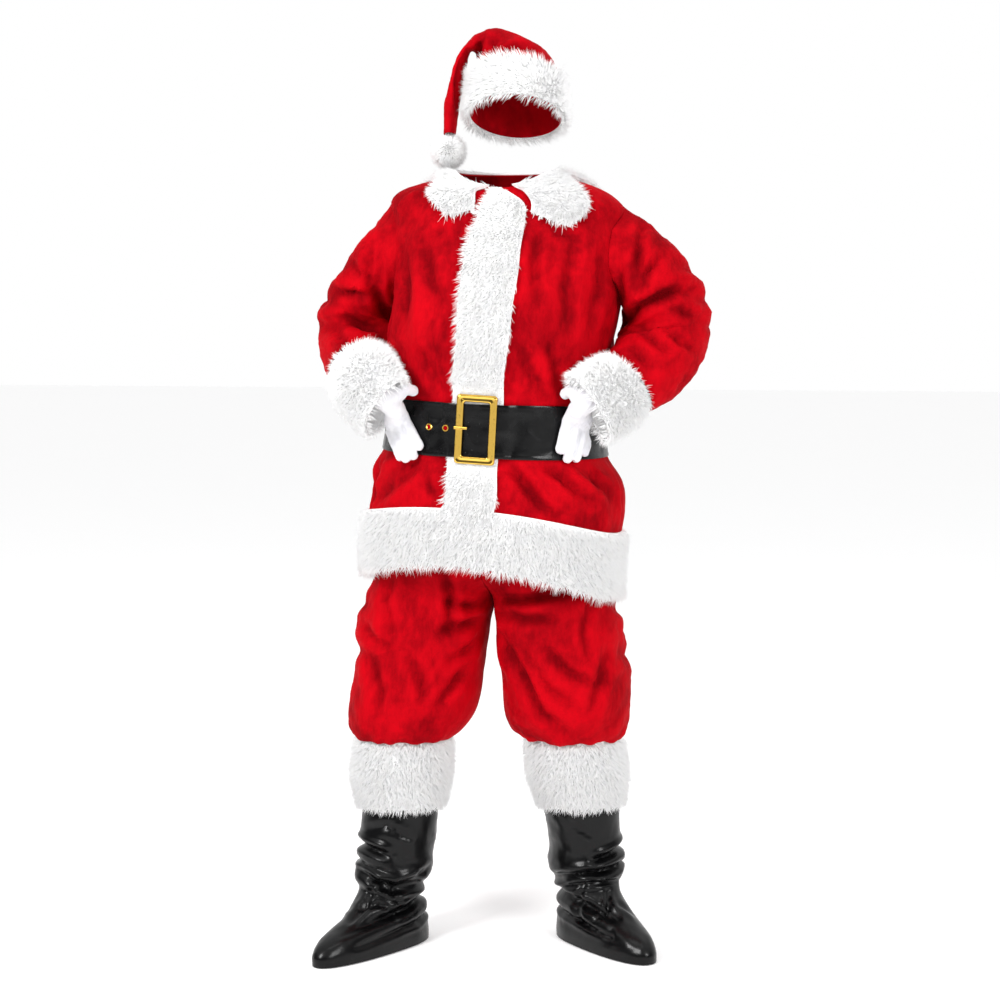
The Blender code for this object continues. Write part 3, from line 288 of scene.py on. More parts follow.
def strands(name, face, normals, loop, reach, comb, node, density, lean, seed):
    # Tapered three-sided locks: roots at random over the grid's area, tips along the combed normal.
    # comb is a direction in space or a grid of them; reach is one length or one for each grid point.
    draw = np.random.default_rng(seed)
    areas = cellAreas(face, loop)
    count = int(areas.sum() * density)
    cells = draw.choice(areas.size, size=count, p=(areas / areas.sum()).ravel())
    row, col = np.divmod(cells, areas.shape[1])
    u, v = draw.random((2, count, 1))

    def between(grid):  # bilinear value of a grid at each root
        g = closed(grid, loop)
        low = g[row, col] * (1 - u) + g[row, col + 1] * u
        high = g[row + 1, col] * (1 - u) + g[row + 1, col + 1] * u
        return low * (1 - v) + high * v

    root, normal = between(face), unit(between(normals))
    length = pile["shortest"] + pile["lengthSpread"] * draw.random((count, 1))
    length = between(overGrid(reach, face)) * length
    flow = between(np.broadcast_to(comb, face.shape))
    flow = unit(flow - normal * (flow * normal).sum(-1, keepdims=True))
    side = np.cross(normal, flow)
    clumpWave, clumpTurn = pile["clumps"]
    tuftWave, tuftTurn = pile["tufts"]
    clump = unevenness(root, clumpWave, seed + 5)[:, None] * clumpTurn
    clump += unevenness(root, tuftWave, seed + 9)[:, None] * tuftTurn
    swing = pile["swing"] * clump + pile["swingSpread"] * draw.normal(size=(count, 1))
    tilt = lean * (1 + pile["leanSpread"] * draw.normal(size=(count, 1)))
    direction = unit(normal + tilt * (flow * np.cos(swing) + side * np.sin(swing)))
    wide = pile["thickness"] * (pile["thinnest"] + pile["thicknessSpread"] * draw.random((count, 1)))
    across = unit(np.cross(direction, normal + 0.3 * side))
    other = np.cross(direction, across)
    start = root - normal * pile["rootDepth"]
    # Three corners of an even triangle at the root, and the tip.
    corners = [start + wide * across, start + wide * (-0.5 * across + 0.866 * other),
               start + wide * (-0.5 * across - 0.866 * other), root + direction * length]
    points = np.stack(corners, axis=1).reshape(-1, 3)
    first = np.arange(count)[:, None] * 4
    faces = (first[:, None] + np.array([[0, 1, 3], [1, 2, 3], [2, 0, 3], [2, 1, 0]])[None]).reshape(-1, 3)
    waves = pile["shadeWaves"] * unevenness(root, 0.011, seed + 3)
    fresh = np.clip(pile["shade"] + pile["shadeSpread"] * draw.random(count) + waves, 0.45, 1)
    # Painted shade: each lock's three root corners take rootShade of its own tone, so the pile looks deeper.
    tone = (fresh[:, None] * np.array([pile["rootShade"]] * 3 + [1.0])).ravel()
    return declare(newMesh(name, points, faces, furWhite, tone), [node])


def furBand(name, node, back, normals, loop, depth, comb, *, lean, seed, stretch,
            density=178000, rim=None):
    # Backing shell from the cloth side out to its share of the pile, then the locks on it.
    # rim is the row, first (0) or last (-1), whose edge the locks also cover and hang over.
    depthGrid = overGrid(depth, back)
    lumpWave, lumpHeight = pile["lumps"]
    lumps = 1 + lumpHeight * unevenness(back, lumpWave, seed)[..., None]
    face = back + normals * depthGrid * backingShare * lumps
    backing = shell(name, face, back, loop, furBacking, node)
    grids = [face, normals, depthGrid * stretch, np.broadcast_to(comb, face.shape)]
    if rim is not None:
        count = pile["rimRows"]
        over = np.linspace(*pile["rimSpan"], count)[:, None, None]
        past = unit(face[rim] - face[rim + 1 if rim == 0 else rim - 1])
        edges = (face[rim] + (back[rim] - face[rim]) * over,
                 unit(past + normals[rim] * (0.9 - over)),
                 np.broadcast_to(grids[2][rim] * pile["rimReach"], (count, face.shape[1], 1)),
                 np.broadcast_to(grids[3][rim], (count,) + face.shape[1:]))
        grids = [np.concatenate([edge[::-1], grid] if rim == 0 else [grid, edge])
                 for grid, edge in zip(grids, edges)]
    hairFace, hairNormals, hairReach, hairComb = grids
    hair = strands(name + "Fur", hairFace, hairNormals, loop, hairReach[..., 0], hairComb, node,
                   density, lean, seed)
    clothSheet(face, loop, [hair])


class Wire:
    # A node's output socket; arithmetic adds Math nodes, and node() adds any other kind.
    def __init__(self, tree, socket=None):
        self.tree = tree
        self.socket = socket

    def node(self, kind, settings, inputs, output=0):
        made = self.tree.nodes.new("ShaderNode" + kind)
        for key, value in settings.items():
            setattr(made, key, value)
        for key, value in inputs.items():
            if isinstance(value, Wire):
                self.tree.links.new(value.socket, made.inputs[key])
            else:
                made.inputs[key].default_value = value
        return Wire(self.tree, made.outputs[output])

    def math(self, operation, first, second):
        return self.node("Math", {"operation": operation}, {0: first, 1: second})

    def __add__(self, other):
        return self.math("ADD", self, other)

    def __radd__(self, other):
        return self.math("ADD", other, self)

    def __sub__(self, other):
        return self.math("SUBTRACT", self, other)

    def __rsub__(self, other):
        return self.math("SUBTRACT", other, self)

    def __mul__(self, other):
        return self.math("MULTIPLY", self, other)

    def __rmul__(self, other):
        return self.math("MULTIPLY", other, self)

    def noise(self, scale, detail=3.0, rough=0.55, twist=0.0):
        return self.node("TexNoise", {}, {"Vector": self, "Scale": scale, "Detail": detail,
                                          "Roughness": rough, "Distortion": twist})

    def ramp(self, low, high):  # 0 below low and 1 above high
        return self.node("MapRange", {"interpolation_type": "SMOOTHSTEP"},
                         {"Value": self, "From Min": low, "From Max": high})

    def blend(self, first, second):  # this value mixes the first colour into the second
        return self.node("Mix", {"data_type": "RGBA"}, {0: self, 6: first, 7: second}, 2)

    def bump(self, strength, distance, below=None):
        inputs = {"Height": self, "Strength": strength, "Distance": distance}
        if below is not None:
            inputs["Normal"] = below
        return self.node("Bump", {}, inputs)


def startMaterial(name, fixed):
    # A fresh shader with its uniform values set, and the object's coordinates to build on.
    material = bpy.data.materials.new(name)
    material.use_nodes = True
    tree = material.node_tree
    shader = tree.nodes["Principled BSDF"]
    for key, value in fixed.items():
        shader.inputs[key].default_value = value
    place = Wire(tree).node("TexCoord", {}, {}, 3)
    return material, shader, place


def connect(shader, wires):
    for key, wire in wires.items():
        wire.tree.links.new(wire.socket, shader.inputs[key])


def grey(shade, blue=0.0):  # an even colour, a little bluer if asked
    return (shade, shade, shade + blue, 1.0)


def makePlush():
    # Crushed velour: broad patches where the nap lies one way or the other, with painted shade down in
    # the creases and painted light on their lips, under fine brushed strokes and single fibres.
    pressed, raised, tips = (0.12, 0.0002, 0.002, 1.0), (0.45, 0.0005, 0.005, 1.0), (0.56, 0.001, 0.008, 1.0)
    material, shader, place = startMaterial("plushRed", {
        "Sheen Weight": 0.16, "Sheen Roughness": 0.25, "Sheen Tint": (1.0, 0.03, 0.06, 1.0),
        "Specular IOR Level": 0.03})
    patches = place.noise(9.0, 3.0, 0.55, 0.8)
    spots = place.noise(30.0, 3.0, 0.6, 0.5)
    drawnOut = place.node("Mapping", {}, {"Vector": place, "Scale": (1.0, 1.0, 0.4)})
    strokes = drawnOut.noise(110.0, 3.0, 0.6, 0.4)
    fibres = place.noise(900.0, 2.0, 0.6)
    fold = place.node("Attribute", {"attribute_name": "fold"}, {}, 2)
    napAndCreaseShade = patches.ramp(0.33, 0.68) * 0.42 + spots.ramp(0.35, 0.75) * 0.16 + strokes.ramp(0.3, 0.75) * 0.2
    # Painted shade down in the creases and painted light on their raised lips, from each point's fold depth.
    napAndCreaseShade = (napAndCreaseShade + 0.2 - fold * 0.036).ramp(-0.1, 1.0)
    colour = (fibres.ramp(0.4, 0.8) * 0.25).blend(napAndCreaseShade.blend(pressed, raised), tips)
    relief = fibres.bump(0.25, 0.0008, strokes.bump(0.16, 0.002, spots.bump(0.12, 0.004)))
    connect(shader, {"Base Color": colour, "Roughness": 0.9 - napAndCreaseShade * 0.2, "Normal": relief})
    return material


def makeFur(name, dark, bright, locks, glow):
    # White pile: painted shade greys the locks' roots, with a faint warm and cool drift. The backing below
    # the locks has mottled greys and a rough surface instead. A little glow stands for light that
    # passes through the hairs.
    material, shader, place = startMaterial(name, {
        "Sheen Weight": 0.3, "Sheen Roughness": 0.5, "Specular IOR Level": 0.15, "Roughness": 0.8,
        "Emission Color": (1.0, 1.0, 0.98, 1.0), "Emission Strength": glow})
    drift = place.noise(45.0, 3.0, 0.6).ramp(0.3, 0.7)
    cool = (bright * 0.955, bright * 0.955, bright * 0.965, 1.0)
    warm = (bright, bright * 0.995, bright * 0.985, 1.0)
    if locks:
        tone = place.node("Attribute", {"attribute_name": "tone"}, {}, 2)
    else:
        tone = place.noise(160.0, 3.0, 0.6).ramp(0.2, 0.8)
        connect(shader, {"Normal": place.noise(400.0, 3.0, 0.6).bump(0.6, 0.002)})
    connect(shader, {"Base Color": tone.blend(grey(dark, 0.01 * dark), drift.blend(cool, warm))})
    return material


def makeVinyl(name, gloss, wrinkle):
    # Black coated vinyl: a fine leather grain, small dents, and dull rubbed places.
    material, shader, place = startMaterial(name, {
        "Coat Roughness": 0.14, "Coat Weight": 0.08, "Specular IOR Level": 0.18})
    grain = place.node("TexVoronoi", {"feature": "F1"}, {"Vector": place, "Scale": 520.0})
    dents = place.noise(38.0, 4.0, 0.6, 0.6)
    rubbed = place.noise(16.0, 4.0, 0.65, 1.2).ramp(0.45, 0.75)
    colour = rubbed.blend(grey(0.0012, 0.0002), grey(0.0035, 0.0003))
    rough = gloss + rubbed * 0.16 + dents * 0.05
    relief = grain.bump(0.10, 0.0004, dents.bump(wrinkle, 0.004))
    connect(shader, {"Base Color": colour, "Roughness": rough, "Normal": relief})
    return material


def makeBrass():
    # Plated brass: bright on its flats, browner in small worn spots.
    material, shader, place = startMaterial("brass", {"Metallic": 1.0, "Specular IOR Level": 0.5})
    bright, brown = (0.74, 0.47, 0.09, 1.0), (0.36, 0.20, 0.03, 1.0)
    wear = place.noise(140.0, 4.0, 0.65, 0.8).ramp(0.55, 0.85)
    waves = place.noise(60.0, 3.0, 0.6)
    colour = wear.blend(bright, brown)
    connect(shader, {"Base Color": colour, "Roughness": 0.08 + wear * 0.14,
                     "Normal": waves.bump(0.10, 0.002)})
    return material


def makeKnit():
    # Fine knit: ribs of loops across the hand in rows, a little warmer where it stretches.
    material, shader, place = startMaterial("knitWhite", {
        "Sheen Weight": 0.2, "Specular IOR Level": 0.25, "Roughness": 0.82})
    bands = []
    for direction, scale, wander in (("Z", 260.0, 1.2), ("X", 210.0, 1.6)):
        bands.append(place.node("TexWave", {"wave_type": "BANDS", "bands_direction": direction},
                                {"Vector": place, "Scale": scale, "Distortion": wander, "Detail": 1.0,
                                 "Detail Scale": 2.0}))
    weave = bands[0] * bands[1]
    drift = place.noise(30.0, 3.0).ramp(0.3, 0.7)
    colour = drift.blend(grey(0.66, 0.04), grey(0.76, 0.02))
    colour = (weave * 0.12).blend(colour, grey(0.50, 0.04))
    connect(shader, {"Base Color": colour, "Normal": weave.bump(0.25, 0.0006)})
    return material


plush = makePlush()
furWhite = makeFur("furWhite", 0.64, 0.98, True, 0.105)
furBacking = makeFur("furBacking", 0.76, 0.93, False, 0.07)
beltVinyl = makeVinyl("beltVinyl", 0.22, 0.10)
bootVinyl = makeVinyl("bootVinyl", 0.26, 0.08)
brass = makeBrass()
knit = makeKnit()
print("materials made")

# Coat: the body's squared ovals by height, as in the solids, and its creases.
coat = columns(("z", "x", "half", "front", "back", "tilt", "lift", "side", "open"), (
    (0.700, -0.014, 0.240, 0.217, 0.165, -0.090, 0.050, 90, -1.4),
    (0.800, -0.012, 0.241, 0.218, 0.165, -0.080, 0.040, 90, -1.8),
    (0.870, 0.000, 0.241, 0.215, 0.158, -0.070, 0.030, 90, -2.4),
    (0.927, -0.002, 0.235, 0.205, 0.148, -0.055, 0.012, 90, -2.4),
    (0.960, -0.007, 0.215, 0.1975, 0.139, -0.035, 0.000, 90, -1.5),
    (1.010, -0.005, 0.208, 0.1965, 0.134, -0.035, 0.000, 90, 0.0),
    (1.063, -0.002, 0.209, 0.1990, 0.135, -0.035, 0.000, 90, 0.0),
    (1.110, 0.000, 0.213, 0.208, 0.141, -0.020, 0.000, 90, 0.0),
    (1.190, 0.006, 0.2145, 0.213, 0.145, -0.010, 0.000, 90, 1.0),
    (1.245, 0.016, 0.216, 0.203, 0.146, 0.000, 0.000, 90, -1.0),
    (1.300, 0.018, 0.219, 0.188, 0.145, 0.000, 0.000, 68, 0.0),
    (1.350, 0.019, 0.222, 0.168, 0.140, -0.020, 0.000, 64, 0.5),
    (1.400, 0.018, 0.222, 0.138, 0.130, -0.035, 0.000, 69, 2.5),
    (1.440, 0.014, 0.220, 0.108, 0.112, -0.035, -0.004, 90, 3.0),
    (1.464, 0.008, 0.186, 0.096, 0.101, -0.015, -0.012, 90, 2.0),
    (1.481, 0.010, 0.131, 0.087, 0.089, -0.005, -0.024, 90, 0.0),
    (1.494, 0.012, 0.088, 0.079, 0.075, 0.000, -0.032, 90, 0.0),
))
coatFolds = columns(("angleA", "heightA", "angleB", "heightB", "width", "depth"), (
    (-62, 0.905, -30, 0.945, 0.014, 0.006),
    (-75, 0.880, -58, 0.935, 0.012, 0.005),
    (10, 0.948, 24, 0.890, 0.014, 0.007),
    (34, 0.945, 50, 0.870, 0.014, 0.006),
    (60, 0.940, 72, 0.880, 0.012, 0.005),
    (-60, 1.300, -48, 1.220, 0.014, 0.006),
    (58, 1.290, 50, 1.215, 0.014, 0.006),
    (-80, 1.150, -40, 1.095, 0.014, 0.005),
    (80, 1.140, 45, 1.090, 0.014, 0.005),
    (130, 0.945, 142, 0.870, 0.014, 0.006),
    (170, 0.948, 176, 0.880, 0.013, 0.006),
    (215, 0.945, 203, 0.875, 0.014, 0.006),
    (120, 1.300, 140, 1.200, 0.016, 0.006),
    (240, 1.300, 220, 1.200, 0.016, 0.006),
    (150, 1.110, 205, 1.085, 0.014, 0.005),
))
frontBandTable = columns(("z", "halfWidth", "pile"), (
    (0.700, 0.046, 0.014),
    (0.905, 0.047, 0.012),
    (0.937, 0.047, 0.005),
    (1.092, 0.047, 0.005),
    (1.118, 0.047, 0.012),
    (1.390, 0.046, 0.012),
    (1.430, 0.040, 0.011),
    (1.465, 0.018, 0.008),
    (1.494, 0.006, 0.006),
))
hemLow, hemHigh, waistLow, waistHigh = 0.714, 0.832, 0.963, 1.063
armLow, armHigh, neckHeight = 1.245, 1.440, 1.494
skirtRows, middleRows, yokeRows = 31, 33, 11
armRows = 24  # a sleeve has twice as many columns, so that it meets the armhole point by point
# Each crease: its width and depth in millimetres, then its path in the photo's pixels.
coatCreases = {
    "front": (
        (13, 5, ((378, 497), (398, 480), (420, 466))),
        (11, 4, ((384, 478), (400, 468), (412, 463))),
        (12, 6, ((512, 462), (522, 482), (541, 504), (557, 517))),
        (12, 5, ((545, 464), (566, 480), (590, 500))),
        (10, 4, ((580, 470), (604, 486), (618, 502))),
        (9, 3, ((424, 470), (428, 486), (436, 500))),
        (15, 4, ((424, 248), (432, 290), (430, 330))),
        (12, 4, ((402, 250), (408, 296), (404, 330))),
        (14, 4, ((576, 240), (566, 288), (570, 330))),
        (12, 4, ((604, 250), (600, 292), (590, 330))),
        (11, 3.5, ((540, 225), (534, 262), (538, 300))),
        (12, 4, ((420, 352), (434, 376), (448, 396))),
        (10, 3, ((430, 336), (438, 362), (446, 380))),
        (12, 4, ((520, 345), (530, 372), (546, 396))),
        (11, 4, ((548, 340), (556, 366), (560, 392))),
        (9, 3, ((446, 218), (438, 232), (424, 240))),
        (9, 3, ((540, 214), (556, 232), (578, 238))),
        (14, 3, ((440, 290), (446, 322), (440, 350))),
    ),
    "back": (
        (15, 5, ((430, 240), (438, 290), (432, 340))),
        (15, 5, ((568, 240), (560, 292), (566, 342))),
        (14, 5, ((470, 330), (500, 352), (540, 360))),
        (12, 4, ((450, 372), (480, 386), (520, 392))),
        (12, 5, ((430, 468), (440, 496), (438, 520))),
        (12, 5, ((492, 466), (498, 492), (490, 516))),
        (12, 5, ((548, 466), (560, 494), (572, 516))),
        (13, 4, ((500, 230), (504, 268), (498, 300))),
    ),
    "side": (
        (14, 5, ((470, 380), (480, 350), (498, 330))),
        (13, 5, ((530, 384), (520, 352), (505, 332))),
        (13, 5, ((470, 468), (462, 500), (466, 540))),
        (13, 5, ((520, 466), (530, 498), (524, 530))),
    ),
}


def coatValue(name, z):
    return smoothRows(coat["z"], coat[name], z)


def coatForm(angle, z):
    # A squared oval at each height, tilted across and lifted in front.
    x, y = oval(angle, coatValue("half", z), coatValue("front", z), coatValue("back", z))
    lift = coatValue("lift", z) * np.clip(np.cos(angle), 0, 1) ** 2
    return np.stack([coatValue("x", z) + x, y, z + coatValue("tilt", z) * x + lift], -1)


def foldDepth(angle, z, radius=0.21):
    # Sum of the solids' valleys, each fading with the distance from its line on a coat laid flat:
    # the angle times this mean radius, by the height.
    total = np.zeros(np.shape(angle))
    turned = np.mod(np.degrees(angle) + 90, 360) - 90
    for a0, h0, a1, h1, width, depth in zip(*coatFolds.values()):
        a = np.array([math.radians(a0) * radius, h0])
        b = np.array([math.radians(a1) * radius, h1])
        p = np.stack([np.radians(turned) * radius, z], -1)
        share = np.clip(((p - a) @ (b - a)) / ((b - a) @ (b - a)), 0, 1)
        distance = np.linalg.norm(p - a - share[..., None] * (b - a), axis=-1)
        taper = 0.35 + 0.65 * np.sin(np.pi * np.clip(0.15 + 0.7 * share, 0, 1))
        total += depth * taper * np.exp(-((distance / width) ** 2))
    return total


def coatNormals(angle, z):
    # Across the form's slopes around and upwards, each taken over a small step both ways.
    stepRound, stepUp = 0.02, 0.004
    around = coatForm(angle + stepRound, z) - coatForm(angle - stepRound, z)
    upward = coatForm(angle, np.minimum(z + stepUp, neckHeight)) - coatForm(angle, z - stepUp)
    return unit(np.cross(around, upward))


def coatAt(angle, z, out=0.0, folds=True):
    # A point of the coat moved out along the surface's own direction.
    angle, z = np.broadcast_arrays(np.asarray(angle, float), np.asarray(z, float))
    move = np.broadcast_to(np.asarray(out, float), angle.shape)
    if folds:
        move = move - foldDepth(angle, z)
    return coatForm(angle, z) + coatNormals(angle, z) * move[..., None]


def angleOfWidth(halfWidth, z):  # the angle at which a ring is this far from its middle
    return np.arcsin(np.clip(halfWidth / coatValue("half", z), 0, 1) ** (bodySquareness / 2))


def coatHeights():
    skirt = np.linspace(hemLow, waistLow, skirtRows + 1)[:-1]
    middle = np.linspace(waistLow, armLow, middleRows + 1)[:-1]
    arm = np.linspace(armLow, armHigh, armRows + 1)
    yoke = np.linspace(armHigh, neckHeight, yokeRows + 1)[1:]
    return np.concatenate([skirt, middle, arm, yoke])


def sideAngle(z):
    # The side seam, or the armhole's edge, straight between eight steps as in the solids.
    steps = np.linspace(armLow, armHigh, 9)
    edge = np.radians(coatValue("side", steps))
    edge[[0, -1]] = math.pi / 2
    return np.where((z > armLow) & (z < armHigh), np.interp(z, steps, edge), math.pi / 2)


def armholeLoop(side, inset):
    # The armhole's edge as a loop down the back and up the front, drawn in towards its middle.
    z = np.linspace(armHigh, armLow, armRows + 1)
    edge = sideAngle(z)
    angle = np.concatenate([math.pi - edge, edge[-2:0:-1]])
    height = np.concatenate([z, z[-2:0:-1]])
    return drawnIn(coatAt(side * angle, height)[None], inset)[0]


def clothSurface(points, normals, paths, wave, amount, seed):
    # How far in the cloth lies: its drawn creases from four sides, and soft uneven waves.
    depth = creases(points, normals, 0.0, paths["front"]) + creases(points, normals, math.pi, paths["back"])
    sides = [creases(points, normals, turn, paths["side"]) for turn in (math.pi / 2, -math.pi / 2)]
    depth += sides[0] + sides[1]
    fine = 0.4 * amount * unevenness(points, wave / 2.7, seed + 1)
    return (depth + (amount * unevenness(points, wave, seed) + fine))[..., None]


def makeCoat():
    z = coatHeights()
    gap = seam / 2 / coatValue("half", z)
    side = sideAngle(z)
    opening = np.radians(coatValue("open", z))
    edges = {
        "coatFrontRight": ("coat_front_right", -side + gap, opening - gap, 70),
        "coatFrontLeft": ("coat_front_left", opening + gap, side - gap, 70),
        "coatBack": ("coat_back", math.pi - side + gap, math.pi + side - gap, 130),
    }
    for name, (node, start, stop, cells) in edges.items():
        share = np.linspace(0, 1, cells + 1)
        angle = start[:, None] + (stop - start)[:, None] * share
        height = np.repeat(z[:, None], cells + 1, axis=1)
        base, normals = coatAt(angle, height), coatNormals(angle, height)
        # Creases fade out at the seams, under the belt and towards the trims.
        free = np.clip(8 * np.minimum(share, share[::-1]), 0, 1)
        loose = np.clip(np.maximum(waistLow - height, height - waistHigh) / 0.02, 0.0, 1) * free
        loose = loose * np.clip((neckHeight - height) / 0.03, 0, 1)
        depth = clothSurface(base, normals, coatCreases, wave=0.07, amount=0.0014, seed=3) * loose[..., None]
        outer = base - normals * depth
        piece = shell(name, outer, outer - normals * plushWall, False, plush, node, depth)
        clothSheet(outer, False)


makeCoat()
print("coat made")

# Sleeves: an outer point and one at the crook for each section, and the reach across that line.
sectionNames = ("ox", "oy", "oz", "ix", "iy", "iz", "near", "far")
sleeveSections = {
    "right": (
        (-0.236, 0.000, 1.394, -0.222, 0.002, 1.237, 0.080, 0.082),
        (-0.266, 0.026, 1.346, -0.231, 0.002, 1.220, 0.078, 0.084),
        (-0.312, 0.068, 1.282, -0.230, -0.006, 1.205, 0.074, 0.086),
        (-0.340, 0.098, 1.216, -0.230, -0.018, 1.196, 0.070, 0.086),
        (-0.337, 0.090, 1.153, -0.229, -0.034, 1.187, 0.062, 0.082),
        (-0.326, 0.050, 1.103, -0.227, -0.055, 1.180, 0.048, 0.074),
        (-0.298, -0.020, 1.062, -0.218, -0.085, 1.173, 0.036, 0.066),
    ),
    "left": (
        (0.300, 0.000, 1.383, 0.243, 0.004, 1.225, 0.080, 0.084),
        (0.337, 0.030, 1.343, 0.243, 0.004, 1.208, 0.078, 0.086),
        (0.370, 0.070, 1.286, 0.241, -0.006, 1.196, 0.074, 0.088),
        (0.378, 0.100, 1.215, 0.238, -0.020, 1.187, 0.070, 0.088),
        (0.377, 0.085, 1.155, 0.233, -0.037, 1.178, 0.062, 0.084),
        (0.358, 0.045, 1.103, 0.233, -0.054, 1.169, 0.050, 0.078),
        (0.325, 0.005, 1.064, 0.226, -0.072, 1.160, 0.044, 0.070),
        (0.280, -0.030, 1.040, 0.219, -0.092, 1.151, 0.040, 0.062),
    ),
}
cuffSections = {
    "right": (
        (-0.258, -0.120, 1.027, -0.166, -0.192, 1.150, 0.024, 0.060),
        (-0.205, -0.175, 0.997, -0.126, -0.250, 1.108, 0.026, 0.054),
    ),
    "left": (
        (0.255, -0.092, 1.008, 0.198, -0.158, 1.142, 0.026, 0.058),
        (0.224, -0.152, 0.988, 0.163, -0.228, 1.116, 0.028, 0.054),
    ),
}
sleeve = {
    "cells": 96, "fadeCells": 9.0, "armholeGap": 0.0009,
    "gathers": 11, "gatherDepth": 0.0016, "gatherCell": 92, "gatherSpread": 7.0,
    "cuffCells": 22, "cuffEdgePile": 0.010, "cuffShorter": 0.008, "cuffSlant": 0.028,
}
sleeveCreases = {
    "front": (
        (9, 4, ((402, 217), (398, 232), (394, 247))),
        (10, 6, ((381, 243), (379, 288), (389, 319))),
        (10, 6, ((371, 242), (369, 282), (383, 313))),
        (8, 4, ((389, 262), (393, 290), (398, 313))),
        (10, 5, ((332, 289), (350, 294), (371, 294))),
        (11, 7, ((348, 317), (366, 326), (382, 331))),
        (9, 5, ((351, 359), (368, 350), (383, 339))),
        (9, 4, ((336, 330), (346, 346), (348, 362))),
        (10, 4, ((352, 262), (360, 276), (374, 284))),
        (9, 4, ((618, 268), (620, 286), (621, 304))),
        (10, 6, ((642, 228), (635, 281), (637, 289))),
        (10, 5, ((664, 254), (645, 275), (642, 290))),
        (12, 8, ((613, 333), (622, 321), (641, 307), (673, 291), (696, 286))),
        (10, 5, ((641, 330), (655, 340), (667, 351))),
        (10, 5, ((670, 305), (684, 313), (699, 317))),
        (9, 4, ((628, 340), (640, 356), (652, 372))),
        (9, 4, ((668, 330), (684, 344), (694, 350))),
    ),
    "back": (
        (11, 6, ((336, 300), (352, 296), (372, 302))),
        (10, 5, ((330, 326), (350, 330), (372, 326))),
        (10, 5, ((346, 250), (356, 272), (372, 286))),
        (10, 5, ((640, 300), (664, 292), (690, 296))),
        (10, 5, ((634, 324), (660, 326), (688, 322))),
        (10, 5, ((640, 262), (655, 276), (676, 282))),
    ),
    "side": (
        (15, 2.6, ((440, 262), (470, 268), (500, 262))),
        (16, 3.2, ((430, 290), (462, 300), (498, 296))),
        (15, 2.2, ((450, 322), (480, 330), (512, 322))),
    ),
}


def sectionRings(sections, side, count, start=None):
    # Ovals through each outer and inner point; the direction along comes from their middles.
    table = columns(sectionNames, sections)
    outer = np.stack([table["ox"], table["oy"], table["oz"]], -1)
    inner = np.stack([table["ix"], table["iy"], table["iz"]], -1)
    middles = (outer + inner) / 2
    if start is not None:
        middles = np.concatenate([start[None], middles])
    along = unit(np.gradient(middles, axis=0)[len(middles) - len(outer):])
    middle = (outer + inner)[:, None] / 2
    arm = outer[:, None] - middle
    across = unit(np.cross(along[:, None], arm) * -side)
    turn = fullTurn(count)
    reach = np.where(np.sin(turn) > 0, table["near"][:, None], table["far"][:, None]) * np.sin(turn)
    return middle + arm * np.cos(turn)[None, :, None] + across * reach[..., None]


def resample(rings, cells):
    # Smooth tracks through the rings, cut into even cells along the middle line.
    steps = np.linalg.norm(np.diff(rings.mean(axis=1), axis=0), axis=1)
    spread = np.linalg.norm(np.diff(rings, axis=0), axis=-1).mean(axis=1)
    at = np.concatenate([[0], np.cumsum(steps + spread)])
    return smoothRows(at, rings, np.linspace(0, at[-1], cells + 1))


def endFade(cells, rows, skip=0):
    # 0 at both ends of a grid's rows, and 1 from this many rows in; skip leaves out the first ones.
    near = np.minimum(np.arange(cells + 1) - skip, np.arange(cells, -1, -1))
    return np.clip(near / rows, 0, 1)[:, None, None]


def makeSleeve(word, side):
    count, cells = 2 * armRows, sleeve["cells"]
    title = word.capitalize()
    first = armholeLoop(side, sleeve["armholeGap"])
    rings = sectionRings(sleeveSections[word], side, count, first.mean(axis=0))
    base = resample(np.concatenate([first[None], rings]), cells)
    normals = tubeNormals(base)
    ramp = endFade(cells, sleeve["fadeCells"])
    # Small gathers where the sleeve is set into the cuff.
    turn = fullTurn(count)
    nearCuff = np.exp(-((np.arange(cells + 1)[:, None] - sleeve["gatherCell"]) / sleeve["gatherSpread"]) ** 2)
    gathers = sleeve["gatherDepth"] * np.sin(sleeve["gathers"] * turn + 1.3 * np.sin(2 * turn)) * nearCuff
    depth = clothSurface(base, normals, sleeveCreases, wave=0.06, amount=0.0016, seed=21)
    outer = base - normals * (depth + gathers[..., None]) * ramp
    inner = outer - normals * plushWall
    inner[0] = armholeLoop(side, sleeve["armholeGap"] + plushWall)
    inner[-1] = drawnIn(outer[-1:], plushWall)[0]
    piece = shell("sleeve" + title, outer, inner, True, plush, "sleeve_" + word, depth * ramp)
    clothSheet(outer, True)
    # Cuff: starts a seam's width past the sleeve, ends on a slant.
    step = unit((base[-1] - base[-2]).mean(axis=0))
    start = base[-1] + step * 2 * seam
    rings = sectionRings(cuffSections[word], side, count, start.mean(axis=0))
    along = unit(rings[-1].mean(axis=0) - rings[-2].mean(axis=0))
    rings[-1] -= along * (sleeve["cuffShorter"] + sleeve["cuffSlant"] * np.sin(turn))[:, None]
    cuff = resample(np.concatenate([start[None], rings]), sleeve["cuffCells"])
    pileAt = np.linspace(pileDeep, sleeve["cuffEdgePile"], len(cuff))[:, None] + 0 * cuff[..., 0]
    back = drawnIn(cuff, pileAt[..., None])
    furBand("cuff" + title, "cuff_" + word, back, tubeNormals(cuff), True, pileAt, along,
            seed=31 + side, lean=1.1, stretch=1.6, rim=-1)


makeSleeve("right", -1)
makeSleeve("left", 1)
print("sleeves made")

